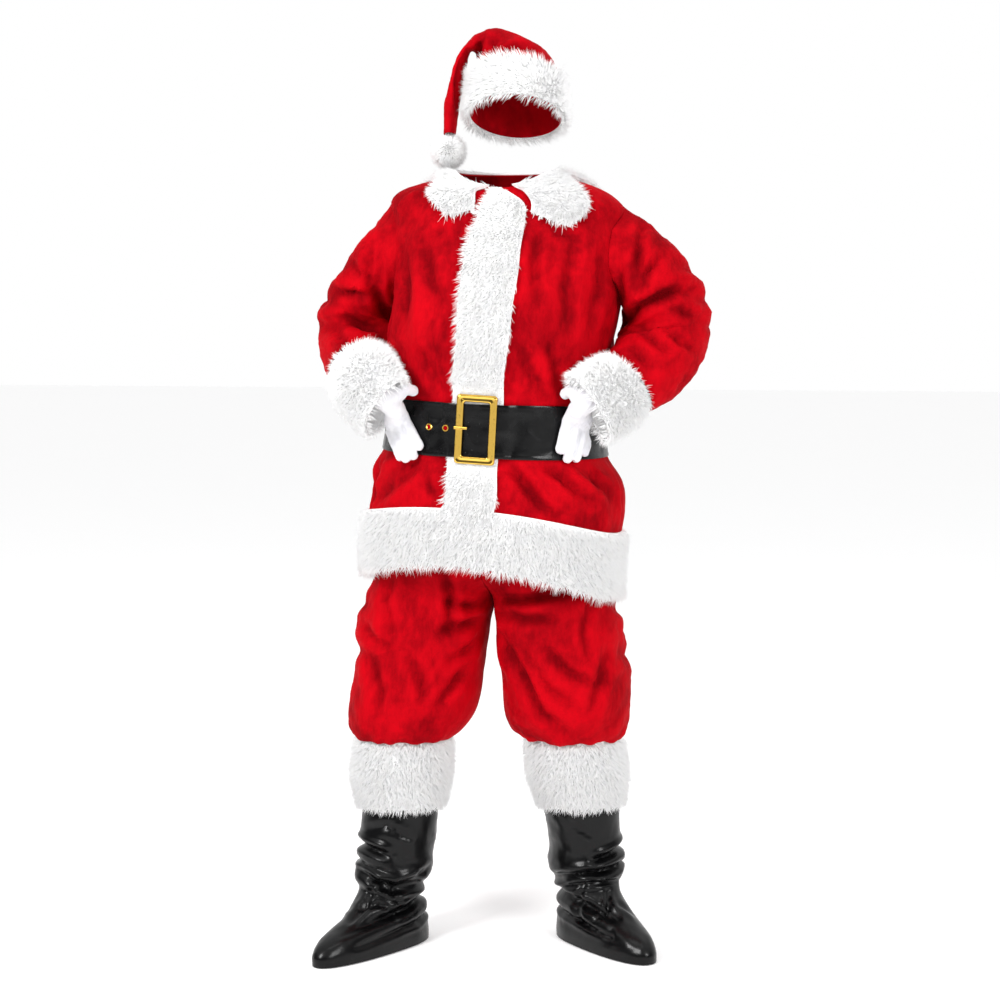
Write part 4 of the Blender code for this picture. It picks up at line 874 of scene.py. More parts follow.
# Trouser legs: an oval below the crotch that opens above it into half of the hip ring.
legNames = ("z", "x", "y", "half", "front", "back", "hip")
legSections = {
    "right": (
        (1.000, -0.085, 0.000, 0.100, 0.100, 0.100, 1.00),
        (0.900, -0.100, 0.000, 0.110, 0.110, 0.110, 1.00),
        (0.790, -0.116, 0.000, 0.112, 0.120, 0.115, 1.00),
        (0.735, -0.127, 0.000, 0.116, 0.126, 0.120, 0.80),
        (0.680, -0.138, 0.000, 0.127, 0.130, 0.122, 0.12),
        (0.632, -0.149, 0.000, 0.1285, 0.130, 0.122, 0.00),
        (0.573, -0.154, -0.003, 0.1250, 0.130, 0.122, 0.00),
        (0.513, -0.162, -0.008, 0.1270, 0.130, 0.124, 0.00),
        (0.460, -0.170, -0.012, 0.1240, 0.126, 0.122, 0.00),
        (0.425, -0.180, -0.018, 0.1110, 0.114, 0.108, 0.00),
        (0.408, -0.186, -0.020, 0.0940, 0.096, 0.092, 0.00),
        (0.416, -0.188, -0.020, 0.0820, 0.084, 0.082, 0.00),
    ),
    "left": (
        (1.000, 0.065, 0.000, 0.100, 0.100, 0.100, 1.00),
        (0.900, 0.080, 0.000, 0.110, 0.110, 0.110, 1.00),
        (0.790, 0.096, 0.000, 0.112, 0.120, 0.115, 1.00),
        (0.735, 0.102, 0.000, 0.112, 0.126, 0.120, 0.80),
        (0.680, 0.107, 0.000, 0.1160, 0.130, 0.122, 0.12),
        (0.632, 0.116, 0.000, 0.1200, 0.130, 0.122, 0.00),
        (0.573, 0.121, 0.010, 0.1240, 0.130, 0.122, 0.00),
        (0.513, 0.127, 0.020, 0.1220, 0.130, 0.124, 0.00),
        (0.460, 0.128, 0.028, 0.1210, 0.126, 0.122, 0.00),
        (0.425, 0.132, 0.034, 0.1120, 0.114, 0.108, 0.00),
        (0.408, 0.136, 0.036, 0.0940, 0.096, 0.092, 0.00),
        (0.416, 0.138, 0.037, 0.0820, 0.084, 0.082, 0.00),
    ),
}
hipTable = columns(("z", "x", "half", "front", "back"), (
    (0.640, -0.011, 0.227, 0.150, 0.140),
    (0.740, -0.011, 0.227, 0.165, 0.148),
    (0.860, -0.004, 0.222, 0.175, 0.142),
    (0.950, -0.005, 0.201, 0.184, 0.128),
    (1.010, -0.004, 0.2025, 0.190, 0.1295),
    (1.060, -0.003, 0.2030, 0.191, 0.1300),
))
# Stations are rows of legSections, counted from 0 at the waist.
trousers = {
    "around": 104, "cells": 110, "roundness": 0.92, "seamGap": seam * 0.6,
    "pleatDepth": 0.0018, "pleatsAt": 9.6, "pleatSpread": 1.25, "pleatsEnd": 11.2,
}
legCreases = {
    "front": (
        (11, 6, ((441, 570), (451, 593), (450, 631))),
        (12, 6, ((490, 602), (470, 606), (446, 602))),
        (11, 5, ((488, 616), (466, 626), (440, 630))),
        (11, 5, ((486, 634), (468, 650), (448, 662))),
        (10, 4, ((392, 575), (386, 600), (390, 640))),
        (12, 5, ((404, 650), (420, 676), (424, 704))),
        (11, 5, ((372, 660), (380, 690), (376, 712))),
        (11, 5, ((470, 664), (452, 688), (436, 706))),
        (10, 4, ((362, 620), (374, 640), (396, 650))),
        (12, 7, ((500, 637), (525, 681), (541, 714), (563, 731))),
        (11, 5, ((500, 612), (524, 620), (556, 618))),
        (11, 5, ((502, 600), (530, 598), (566, 592))),
        (10, 4, ((590, 600), (584, 630), (590, 660))),
        (11, 5, ((544, 646), (566, 672), (592, 684))),
        (11, 5, ((606, 652), (600, 684), (590, 712))),
        (11, 5, ((520, 650), (548, 690), (580, 712))),
    ),
    "back": (
        (12, 6, ((492, 610), (464, 618), (436, 612))),
        (11, 5, ((490, 632), (464, 648), (430, 650))),
        (12, 6, ((508, 610), (536, 618), (566, 610))),
        (11, 5, ((508, 634), (536, 650), (568, 652))),
        (11, 5, ((400, 660), (414, 690), (410, 712))),
        (11, 5, ((590, 660), (578, 690), (584, 714))),
        (11, 5, ((450, 668), (438, 696), (446, 712))),
        (11, 5, ((540, 668), (552, 696), (544, 714))),
    ),
    "side": (
        (16, 2.6, ((450, 604), (478, 624), (520, 622))),
        (17, 3.0, ((452, 662), (484, 676), (530, 668))),
    ),
}


def legGrid(sections, side):
    # One sheet round each leg from its inner seam, mixed above the crotch with half of the hip ring.
    around, cells = trousers["around"], trousers["cells"]
    table = columns(legNames, sections)
    station = np.arange(len(sections), dtype=float)
    at = np.linspace(0, station[-1], cells + 1)
    value = {name: smoothRows(station, table[name], at)[:, None] for name in legNames}
    share = np.linspace(0, 1, around + 1)[None]
    legRadius, hipRadius = 0.12, 0.2  # usual ones, which make the seam's gap an angle
    gap = trousers["seamGap"] / legRadius
    turn = -math.pi + gap + (2 * math.pi - 2 * gap) * share
    x = value["x"] + side * value["half"] * signedPower(np.cos(turn), trousers["roundness"])
    sway = signedPower(np.sin(turn), trousers["roundness"])
    y = value["y"] + np.where(sway < 0, value["front"], value["back"]) * sway
    z = value["z"] + 0 * share
    halfGap = trousers["seamGap"] / hipRadius
    hipTurn = side * (halfGap + (math.pi - 2 * halfGap) * share)
    level = np.clip(z, hipTable["z"][0], hipTable["z"][-1])
    hip = {name: smoothRows(hipTable["z"], hipTable[name], level) for name in hipTable}
    hipX, hipY = oval(hipTurn, hip["half"], hip["front"], hip["back"])
    mix = np.clip(value["hip"], 0, 1)
    x = (1 - mix) * x + mix * (hip["x"] + hipX)
    y = (1 - mix) * y + mix * hipY
    limit = hip["x"] + side * trousers["seamGap"]
    x = np.maximum(x, limit) if side > 0 else np.minimum(x, limit)
    return np.stack([x, y, z], -1), np.stack([value["x"], value["y"], value["z"]], -1), limit, at, turn


def makeLeg(word, side):
    base, middle, limit, station, turn = legGrid(legSections[word], side)
    normals = sheetNormals(base, middle)
    share = np.linspace(0, 1, base.shape[1])
    free = np.clip(10 * np.minimum(share, 1 - share), 0, 1)
    rows = np.linspace(0, 1, base.shape[0])
    # Pleats of the gathered hem: uneven, deepest where the leg turns in over the cuff.
    waves = np.sin(13 * turn + 2.6 * np.sin(3 * turn + side) + 1.7 * np.sin(5 * turn))
    waves = waves + 0.5 * np.sin(7 * turn + side)
    station = station[:, None]
    nearHem = np.exp(-(((station - trousers["pleatsAt"]) / trousers["pleatSpread"]) ** 2))
    pleats = trousers["pleatDepth"] * waves * nearHem * (station < trousers["pleatsEnd"])
    depth = clothSurface(base, normals, legCreases, wave=0.08, amount=0.0018, seed=41)
    free = free * np.clip((1 - rows[:, None]) * 14, 0, 1)
    outer = base - normals * (depth + pleats[..., None]) * free[..., None]
    inner = outer - normals * plushWall
    for grid in (outer, inner):
        grid[..., 0] = np.maximum(grid[..., 0], limit) if side > 0 else np.minimum(grid[..., 0], limit)
    seamY = (outer[:, 0, 1] + outer[:, -1, 1]) / 2
    inner[:, 0, 1] = np.minimum(inner[:, 0, 1], seamY - seam / 2)
    inner[:, -1, 1] = np.maximum(inner[:, -1, 1], seamY + seam / 2)
    piece = shell("leg" + word.capitalize(), outer, inner, False, plush, "leg_" + word,
                  depth * free[..., None])
    clothSheet(outer, False)


waistband = {"low": 1.000, "high": 1.045, "thick": 0.004, "gathers": 48, "gatherDepth": 0.0006}


def tableAt(table, z):  # each column of a table at these heights
    return {name: smoothRows(table["z"], table[name], z)[:, None] for name in table}


def makeWaistband():
    z = np.linspace(waistband["low"] + seam, waistband["high"], 6)
    turn = fullTurn(160)[None]
    hip = tableAt(hipTable, z)
    grids = []
    for inset in (0.0, waistband["thick"]):
        x, y = oval(turn, hip["half"] - inset, hip["front"] - inset, hip["back"] - inset)
        grids.append(np.stack([hip["x"] + x, y, z[:, None] + 0 * turn], -1))
    # Shallow gathers of the elastic, on the inside only.
    waves = 1 + np.sin(waistband["gathers"] * turn + 2 * np.sin(5 * turn))
    grids[1] = drawnIn(grids[1], waistband["gatherDepth"] * waves[..., None])
    piece = shell("waistbandCloth", grids[0], grids[1], True, plush, "waistband", 0.0)
    clothSheet(grids[0], True)


legCuffTable = {
    "right": (
        (0.278, -0.192, -0.023, 0.0880, 0.0910, 0.010),
        (0.300, -0.192, -0.022, 0.0930, 0.0960, 0.013),
        (0.330, -0.192, -0.021, 0.0985, 0.1000, 0.014),
        (0.372, -0.190, -0.020, 0.0985, 0.1000, 0.014),
        (0.4082, -0.187, -0.020, 0.0950, 0.0960, 0.014),
    ),
    "left": (
        (0.278, 0.151, 0.049, 0.0880, 0.0900, 0.010),
        (0.300, 0.149, 0.047, 0.0920, 0.0950, 0.013),
        (0.330, 0.146, 0.044, 0.0980, 0.1000, 0.014),
        (0.372, 0.143, 0.040, 0.0980, 0.1000, 0.014),
        (0.4082, 0.139, 0.037, 0.0950, 0.0960, 0.014),
    ),
}


def makeLegCuff(word, seed):
    table = columns(("z", "x", "y", "half", "deep", "pile"), legCuffTable[word])
    value = tableAt(table, np.linspace(table["z"][0], table["z"][-1], 22))
    turn = fullTurn(96)[None]
    grids = []
    for inset in (0.0, value["pile"]):
        x, y = oval(turn, value["half"] - inset, value["deep"] - inset, value["deep"] - inset, 2.0)
        grids.append(np.stack([value["x"] + x, value["y"] + y, value["z"] + 0 * turn], -1))
    furBand("legCuff" + word.capitalize(), "leg_cuff_" + word, grids[1], tubeNormals(grids[0]), True,
            value["pile"] + 0 * turn, (0, 0, -1), seed=seed, density=150000, lean=1.1,
            stretch=1.5, rim=0)


makeLeg("right", -1)
makeLeg("left", 1)
makeWaistband()
makeLegCuff("right", 51)
makeLegCuff("left", 57)
print("trousers made")

# Fur trim on the coat: front band, hem band and the collar, made from the coat's own points.
collarEdge = columns(("angle", "edge"), (
    (-180, 1.440), (-130, 1.455), (-90, 1.482), (-55, 1.479), (-38, 1.464), (-29, 1.430),
    (-20, 1.407), (-9, 1.417), (12, 1.418), (24, 1.402), (35, 1.394), (42, 1.414),
    (49, 1.454), (62, 1.476), (90, 1.484), (130, 1.455), (180, 1.440),
))


def makeFrontBand():
    z = coatHeights()[:-1]
    half = angleOfWidth(smoothRows(frontBandTable["z"], frontBandTable["halfWidth"], z), z)
    deep = np.interp(z, frontBandTable["z"], frontBandTable["pile"])
    share = np.linspace(-1, 1, 21)  # from the band's edge on the suit's own right to the other
    angle = np.radians(coatValue("open", z))[:, None] + half[:, None] * share
    height = np.repeat(z[:, None], len(share), axis=1)
    pileAt = np.repeat(deep[:, None], len(share), axis=1)
    # The locks lie down and towards the suit's own right, past that edge of the band.
    sideways = np.repeat(0.35 * share[None] - 0.45, len(z), axis=0)
    spread = np.stack([sideways, 0 * angle, -1 + 0 * angle], -1)
    furBand("frontBand", "front_band", coatAt(angle, height, seam), coatNormals(angle, height), False, pileAt,
            spread, seed=61, lean=1.3, stretch=1.5)


def makeHemBand():
    rows, cols = 26, 260
    z = np.linspace(hemLow, hemHigh, rows)
    half = angleOfWidth(smoothRows(frontBandTable["z"], frontBandTable["halfWidth"], z) + 2 * seam, z)
    opening = np.radians(coatValue("open", z))
    start, stop = opening + half, opening - half + 2 * math.pi
    angle = start[:, None] + (stop - start)[:, None] * np.linspace(0, 1, cols)
    height = np.repeat(z[:, None], cols, axis=1)
    furBand("hemBand", "hem_band", coatAt(angle, height, 2 * seam), coatNormals(angle, height), False,
            pileDeep, (0, 0, -1), seed=67, density=145000, lean=1.2,
            stretch=1.4, rim=0)


# Angles in degrees round from the front; each point has its angle, its half width and its strength.
collar = {
    "start": 14, "stop": 352, "columns": 150, "rows": 18, "offCoat": 0.0028,
    "edgePile": 0.008, "morePile": 0.006,
    "points": ((31, 7, 1.0), (340, 6, 0.9)), "stretch": 1.6, "pointStretch": 1.3,
}


def makeCollar():
    around = np.linspace(collar["start"], collar["stop"], collar["columns"])
    depth = np.linspace(0, 1, collar["rows"])[:, None]
    angle = np.radians(around) + 0 * depth
    edge = smoothRows(collarEdge["angle"], collarEdge["edge"], np.mod(around + 180, 360) - 180)
    height = neckHeight - 0.001 + (edge - neckHeight) * depth
    swell = np.sin(math.pi * np.clip(depth + 0.1, 0, 1))
    deep = collar["edgePile"] + collar["morePile"] * swell + 0 * angle
    normals = coatNormals(angle, height)
    back = coatAt(angle, height, collar["offCoat"], folds=False)
    outwards = np.gradient(back, axis=0)
    # Longer locks draw out the collar's two points.
    pointed = sum(strength * np.exp(-(((around - at) / wide) ** 2))
                  for at, wide, strength in collar["points"])
    stretch = (collar["stretch"] + collar["pointStretch"] * depth ** 3 * pointed)[..., None]
    furBand("collarTrim", "collar", back, normals, False, deep, unit(outwards),
            seed=71, density=200000, lean=1.9, stretch=stretch, rim=-1)


makeFrontBand()
makeHemBand()
makeCollar()
print("coat trim made")

# Belt: a strap over the pressed front band, with rolled edges and two rows of stitches.
belt = {
    "cells": 260, "rows": 30, "thick": 0.0030, "overCoat": 0.0010, "overBand": 0.0052,
    "bandHalf": 0.046, "riseFrom": 0.12, "riseOver": 0.09,  # metres, then radians beside the band
    "edgeThinner": 0.0012, "stitchThinner": 0.0005,
    "slack": 0.0007, "mostSlack": 0.0008,
    "stitches": 190, "stitchInset": 0.0085, "stitchSunk": 0.0004,
    "stitchRings": ((-0.0021, 0.0001), (-0.0014, 0.00038), (0.0014, 0.00038), (0.0021, 0.0001)),
}
buckle = {
    "height": 1.016, "out": 0.0022,
    "outer": (0.076, 0.128, 0.007), "inner": (0.048, 0.100, 0.004),  # width, height and corner radius
    # How far in from the outer edge to the inner one, as a share, and how high there.
    "profile": ((0.0, 0.0), (0.0, 0.0018), (0.05, 0.0034), (0.14, 0.0048), (0.24, 0.0050), (0.34, 0.0043),
                (0.50, 0.0040), (0.66, 0.0043), (0.76, 0.0050), (0.86, 0.0048), (0.95, 0.0034),
                (1.0, 0.0018), (1.0, 0.0), (0.5, 0.0)),
}
eyeletAngles = {"eyeletRedInner": -12.9, "eyeletRedOuter": -22.7}


def beltOut(angle, z):
    # Close to the coat, and further out over the front band.
    opening = np.radians(coatValue("open", z))
    half = angleOfWidth(belt["bandHalf"] + 0 * z, z)
    away = np.abs(np.mod(angle - opening + math.pi, 2 * math.pi) - math.pi)
    over = np.clip((half + belt["riseFrom"] - away) / belt["riseOver"], 0, 1)
    return belt["overCoat"] + belt["overBand"] * over * over * (3 - 2 * over)


def makeBelt():
    z = np.linspace(waistLow, waistHigh, belt["rows"] + 1)
    angle = np.radians(coatValue("open", z))[:, None] + fullTurn(belt["cells"])
    height = np.repeat(z[:, None], angle.shape[1], axis=1)
    normals = coatNormals(angle, height)
    inner = coatAt(angle, height, beltOut(angle, height), folds=False)
    # Thinner at the turned edges, pressed along the stitches, and slack in places. Widths here are
    # shares of the belt's height.
    share = (z - waistLow) / (waistHigh - waistLow)
    edge = np.minimum(share, 1 - share)[:, None]
    turned = belt["edgeThinner"] * np.exp(-((edge / 0.02) ** 2))
    pressed = belt["stitchThinner"] * np.exp(-(((edge - 0.075) / 0.018) ** 2))
    thick = belt["thick"] - turned - pressed
    slack = belt["slack"] * unevenness(inner, 0.05, 81) * np.clip(edge * 8, 0, 1)
    outer = inner + normals * (thick + np.clip(slack, -belt["mostSlack"], belt["mostSlack"]))[..., None]
    piece = shell("beltStrap", outer, inner, True, beltVinyl, "belt")
    clothSheet(outer, True, [makeStitches()])


def makeStitches():
    # Short rounded threads end to end, a little in from each edge: four rings of six points each.
    count, corners = belt["stitches"], 6
    points = []
    for height in (waistLow + belt["stitchInset"], waistHigh - belt["stitchInset"]):
        at = fullTurn(count)
        level = height + 0 * at
        out = beltOut(at, level) + belt["thick"] - belt["stitchSunk"]
        middle = coatAt(at, level, out, folds=False)
        ahead = coatAt(at + 0.01, level, out, folds=False)
        along, normal = unit(ahead - middle), coatNormals(at, level)
        down = np.cross(along, normal)
        for step, wide in belt["stitchRings"]:
            for turn in fullTurn(corners):
                corner = normal * math.cos(turn) + down * math.sin(turn)
                points.append(middle + along * step + corner * wide)
    points = np.array(points).reshape(2, -1, count, 3).transpose(0, 2, 1, 3).reshape(-1, 3)
    one = []
    for low in range(0, 3 * corners, corners):
        for k in range(corners):
            after = (k + 1) % corners
            one.append((low + k, low + after, low + corners + after, low + corners + k))
    one += [(0, 5, 4, 3), (0, 3, 2, 1), (18, 19, 20, 21), (18, 21, 22, 23)]  # both ends
    faces = (np.arange(2 * count)[:, None, None] * 4 * corners + np.array(one)[None]).reshape(-1, 4)
    return declare(newMesh("beltStitches", points, faces, beltVinyl), [])


def beltFrame(angle, z, out):
    # Place on the belt's face, and the directions across, up the belt and out of it.
    out = float(beltOut(np.array([angle]), np.array([z]))[0]) + belt["thick"] + out
    at = coatAt(angle, z, out, folds=False)
    above = coatAt(angle, z + 0.02, out, folds=False)
    beside = coatAt(angle + 0.05, z, out, folds=False)
    up = unit(above - at)
    outward = unit(np.cross(beside - at, up))
    return at, np.cross(up, outward), up, outward


def makeEyeletHole(name, angle):
    # The coat's red seen through the eyelet, as a small disc in its ring: rings of points from the
    # middle behind to the middle in front, where one point is enough.
    at, across, up, outward = beltFrame(angle, buckle["height"], 0.0004)
    corners = 24
    turn = fullTurn(corners)[:, None]
    bm = bmesh.new()
    rings = []
    for radius, out in ((0.0, -0.0006), (0.0044, -0.0006), (0.0046, 0.0002), (0.003, 0.0006), (0.0, 0.0005)):
        ring = at + outward * out + radius * (np.cos(turn) * across + np.sin(turn) * up)
        rings.append([bm.verts.new(p) for p in (ring - heldAt)[:corners if radius else 1].tolist()])
    for k in range(corners):
        after = (k + 1) % corners
        bm.faces.new((rings[0][0], rings[1][k], rings[1][after]))
        bm.faces.new((rings[4][0], rings[3][after], rings[3][k]))
        for low, high in zip(rings[1:3], rings[2:4]):
            bm.faces.new((low[k], high[k], high[after], low[after]))
    bmesh.ops.recalc_face_normals(bm, faces=bm.faces)
    declare(meshFrom(name, bm, plush), [])


def roundedOutline(width, height, corner, steps=8):
    # Points round a rectangle with quarter-circle corners, the same number for any size: an arc at
    # each corner, then even points along the straight run to the next one.
    def onCorner(quarter, turn):
        across, up = (1, -1, -1, 1)[quarter % 4], (1, 1, -1, -1)[quarter % 4]
        return np.array((across * (width / 2 - corner) + corner * math.cos(turn),
                         up * (height / 2 - corner) + corner * math.sin(turn)))

    points = []
    for quarter in range(4):
        points += [onCorner(quarter, turn)
                   for turn in np.linspace(quarter, quarter + 1, steps + 1) * math.pi / 2]
        last, following = points[-1], onCorner(quarter + 1, (quarter + 1) * math.pi / 2)
        points += [last + (following - last) * t for t in np.linspace(0, 1, 10)[1:-1]]
    return np.array(points)


def makeBuckle():
    # Cast frame: bevelled outer and inner edges with a shallow channel between, flat behind.
    at, across, up, outward = beltFrame(0.0, buckle["height"], buckle["out"])
    outer, inner = roundedOutline(*buckle["outer"]), roundedOutline(*buckle["inner"])
    rings = []
    for share, rise in buckle["profile"]:
        flat = outer + (inner - outer) * share
        rings.append(at + flat[:, :1] * across + flat[:, 1:] * up + rise * outward)
    index = np.arange(len(rings) * len(outer)).reshape(len(rings), -1)
    faces = quads(closed(np.concatenate([index, index[:1]]), True))
    points = np.array(rings).reshape(-1, 3)
    piece = newMesh("buckleFrame", points, facedOut(points, faces), brass)
    piece.data.set_sharp_from_angle(angle=math.radians(40))
    declare(piece, ["buckle_frame"])


makeBelt()
makeBuckle()
for name, degrees in eyeletAngles.items():
    makeEyeletHole(name, math.radians(degrees))
for node in ("buckle_prong", "eyelet_inner", "eyelet_outer"):
    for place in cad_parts[node].material_slots:
        place.material = brass
print("belt made")

# Boot covers: flat rings from the footprint up, with slouch folds at the ankle.
bootNames = ("z", "x", "y", "half", "heel", "toe")
bootSections = {
    "right": (
        (0.002, -0.208, -0.050, 0.054, 0.092, 0.215),
        (0.022, -0.208, -0.050, 0.055, 0.092, 0.214),
        (0.042, -0.208, -0.048, 0.053, 0.089, 0.196),
        (0.060, -0.208, -0.045, 0.051, 0.084, 0.150),
        (0.080, -0.209, -0.040, 0.050, 0.077, 0.110),
        (0.100, -0.210, -0.036, 0.051, 0.070, 0.084),
        (0.116, -0.210, -0.033, 0.056, 0.066, 0.072),
        (0.130, -0.208, -0.031, 0.068, 0.072, 0.076),
        (0.148, -0.205, -0.030, 0.072, 0.076, 0.078),
        (0.175, -0.202, -0.029, 0.069, 0.074, 0.075),
        (0.210, -0.198, -0.027, 0.071, 0.076, 0.076),
        (0.262, -0.194, -0.024, 0.0718, 0.0732, 0.0732),
        (0.385, -0.189, -0.020, 0.0765, 0.0770, 0.0770),
    ),
    "left": (
        (0.002, 0.176, 0.046, 0.056, 0.092, 0.200),
        (0.022, 0.176, 0.046, 0.057, 0.092, 0.199),
        (0.042, 0.175, 0.048, 0.055, 0.089, 0.182),
        (0.060, 0.173, 0.051, 0.053, 0.084, 0.146),
        (0.080, 0.170, 0.055, 0.052, 0.077, 0.110),
        (0.102, 0.163, 0.058, 0.053, 0.070, 0.084),
        (0.122, 0.162, 0.060, 0.058, 0.066, 0.073),
        (0.140, 0.161, 0.060, 0.069, 0.072, 0.077),
        (0.158, 0.160, 0.059, 0.071, 0.075, 0.078),
        (0.185, 0.159, 0.057, 0.067, 0.073, 0.075),
        (0.215, 0.157, 0.055, 0.068, 0.074, 0.075),
        (0.262, 0.153, 0.051, 0.0722, 0.0745, 0.0745),
        (0.385, 0.141, 0.038, 0.0765, 0.0770, 0.0770),
    ),
}
bootTurn = {"right": math.radians(-27), "left": math.radians(42)}
bootDents = {"wave": 0.075, "depth": 0.0011, "fineWave": 0.020, "fineDepth": 0.0002}
bootCreases = {
    "front": (
        (9, 6, ((359, 869), (376, 883), (395, 888), (418, 880), (433, 866))),
        (6, 4, ((371, 880), (392, 893), (423, 884))),
        (7, 3, ((371, 828), (386, 827), (409, 838))),
        (6, 3, ((358, 908), (378, 904), (395, 911))),
        (6, 3, ((393, 893), (402, 911), (400, 926))),
        (7, 3, ((376, 884), (364, 908), (350, 922))),
        (9, 6, ((551, 876), (570, 877), (599, 873), (625, 862))),
        (6, 4, ((558, 887), (580, 884), (618, 881))),
        (6, 3, ((584, 885), (577, 904), (580, 921), (594, 931))),
        (5, 3, ((608, 890), (608, 907), (620, 918))),
        (5, 3, ((611, 904), (594, 923))),
        (5, 3, ((620, 904), (644, 918))),
        (6, 2, ((613, 930), (606, 945))),
        (7, 2, ((556, 812), (570, 824), (590, 834))),
    ),
    "around": (
        (9, 6, ((420, 870), (480, 880), (560, 874))),
        (6, 3, ((430, 890), (490, 897), (560, 892))),
    ),
}


def makeBoot(word, seed):
    table = columns(bootNames, bootSections[word])
    low = np.concatenate([np.linspace(0.002, 0.06, 22)[:-1], np.linspace(0.06, 0.22, 60)[:-1],
                          np.linspace(0.22, 0.385, 22)])
    value = tableAt(table, low)
    turn = fullTurn(96)[None]
    across, forward = oval(turn, value["half"], value["toe"], value["heel"], 2.2)
    c, s = math.cos(bootTurn[word]), math.sin(bootTurn[word])
    x = value["x"] + across * c - forward * s
    y = value["y"] + across * s + forward * c
    base = np.stack([x, y, value["z"] + 0 * turn], -1)
    normals = tubeNormals(base)
    depth = creases(base, normals, 0.0, bootCreases["front"])
    for angle in (math.pi, math.pi / 2, -math.pi / 2):
        depth += creases(base, normals, angle, bootCreases["around"])
    # Slack vinyl: small sharp-edged dents, none along the sole's edge or under the cuff.
    dents = bootDents["depth"] * np.abs(unevenness(base, bootDents["wave"], seed))
    dents += bootDents["fineDepth"] * unevenness(base, bootDents["fineWave"], seed + 1)
    free = np.clip((value["z"] - 0.008) / 0.02, 0, 1) * np.clip((0.36 - value["z"]) / 0.03, 0, 1)
    outer = base - normals * ((depth + dents) * free)[..., None]
    inner = outer - normals * vinylWall
    inner[0, :, 2] = outer[0, :, 2]
    piece = shell("bootCover" + word.capitalize(), outer, inner, True, bootVinyl, "boot_cover_" + word)
    clothSheet(outer, True)


makeBoot("right", 91)
makeBoot("left", 95)
print("boot covers made")

# Hat: cone, fold and tail as one tube, the band on its lower rows and the pompom at its end.
hatSections = (
    (-0.056, 0.000, 1.598, 0.117, 0.000, 1.602, 0.100, 0.100),
    (-0.056, 0.026, 1.673, 0.108, 0.026, 1.675, 0.092, 0.094),
    (-0.054, 0.034, 1.696, 0.100, 0.034, 1.700, 0.084, 0.084),
    (-0.052, 0.036, 1.711, 0.074, 0.036, 1.731, 0.070, 0.068),
    (-0.052, 0.034, 1.720, 0.028, 0.034, 1.756, 0.054, 0.050),
    (-0.055, 0.030, 1.725, -0.020, 0.030, 1.770, 0.044, 0.040),
    (-0.060, 0.026, 1.726, -0.054, 0.026, 1.755, 0.040, 0.036),
    (-0.065, 0.022, 1.720, -0.074, 0.022, 1.733, 0.038, 0.034),
    (-0.069, 0.016, 1.700, -0.086, 0.016, 1.703, 0.036, 0.034),
    (-0.074, 0.008, 1.668, -0.096, 0.008, 1.668, 0.034, 0.032),
    (-0.080, 0.000, 1.622, -0.106, 0.000, 1.622, 0.030, 0.030),
    (-0.086, -0.004, 1.5692, -0.108, -0.004, 1.5672, 0.022, 0.022),
)
hatCreases = {
    "front": (
        (7, 5, ((483, 35), (476, 56), (473, 72))),
        (7, 4, ((504, 51), (518, 45), (539, 52))),
        (6, 3, ((496, 38), (492, 52), (498, 66))),
        (5, 2.5, ((460, 60), (456, 84), (458, 112))),
        (5, 2.5, ((520, 60), (534, 60), (550, 68))),
    ),
    "back": (
        (7, 4, ((470, 50), (490, 60), (520, 56))),
        (7, 4, ((480, 76), (505, 84), (540, 78))),
        (6, 3, ((530, 60), (540, 80), (536, 100))),
    ),
    "side": (),
}
hat = {"around": 72, "cells": 110, "fadeSkip": 14, "fadeCells": 10.0, "bandHeight": 0.074}
pompom = {"at": np.array([-0.099, -0.004, 1.5355]), "ball": 0.0205, "rootsAt": 0.0195, "lockLength": 0.0175}


def makeHat():
    cells = hat["cells"]
    base = resample(sectionRings(hatSections, 1, hat["around"]), cells)
    normals = tubeNormals(base)
    ramp = endFade(cells, hat["fadeCells"], hat["fadeSkip"])
    depth = clothSurface(base, normals, hatCreases, wave=0.05, amount=0.0010, seed=101) * ramp
    outer = base - normals * depth
    piece = shell("hatCone", outer, outer - normals * plushWall, True, plush, "hat", depth)
    clothSheet(outer, True)
    # The band ends where the solid's does: this high up the first track of its coarser grid.
    solidCells, fineCells = 19, 400
    coarse = resample(sectionRings(hatSections, 1, 16), solidCells)
    height = np.linalg.norm(coarse[:, 0] - coarse[0, 0], axis=-1)
    row = np.searchsorted(height, hat["bandHeight"])
    part = (hat["bandHeight"] - height[row - 1]) / (height[row] - height[row - 1])
    top = (row - 1 + part) / solidCells
    fine = resample(sectionRings(hatSections, 1, 120), fineCells)
    pick = np.linspace(0, top * fineCells, 20).round().astype(int)
    out, fine = tubeNormals(fine)[pick], fine[pick]
    # The locks lie down at the band's lower edge, sideways in the middle and up over the cone at the top.
    around = unit(np.roll(fine, -1, axis=1) - np.roll(fine, 1, axis=1))
    upwards = 0.8 * around + np.linspace(-1, 1, len(pick))[:, None, None] * np.array((0, 0, 1.0))
    furBand("hatBand", "hat_band", fine + out * 2 * seam, out, True, pileDeep, upwards,
            seed=111, density=186000, lean=1.1, stretch=1.4, rim=0)


def makePompom():
    # A ball of backing with locks pointing out all round and drooping a little.
    bm = bmesh.new()
    bmesh.ops.create_icosphere(bm, subdivisions=4, radius=pompom["ball"])
    bmesh.ops.translate(bm, verts=bm.verts, vec=(pompom["at"] - heldAt).tolist())
    declare(meshFrom("pompomBall", bm, furBacking), ["pompom"])
    turn = fullTurn(48)[None]
    rise = np.linspace(-1.52, 1.52, 25)[:, None]
    level = np.cos(rise)
    normals = np.stack([level * np.cos(turn), level * np.sin(turn), np.sin(rise) + 0 * turn], -1)
    strands("pompomFur", pompom["at"] + normals * pompom["rootsAt"], normals, True, pompom["lockLength"],
            (0.1, -0.2, -1.0), "pompom", density=800000, lean=0.45, seed=113)


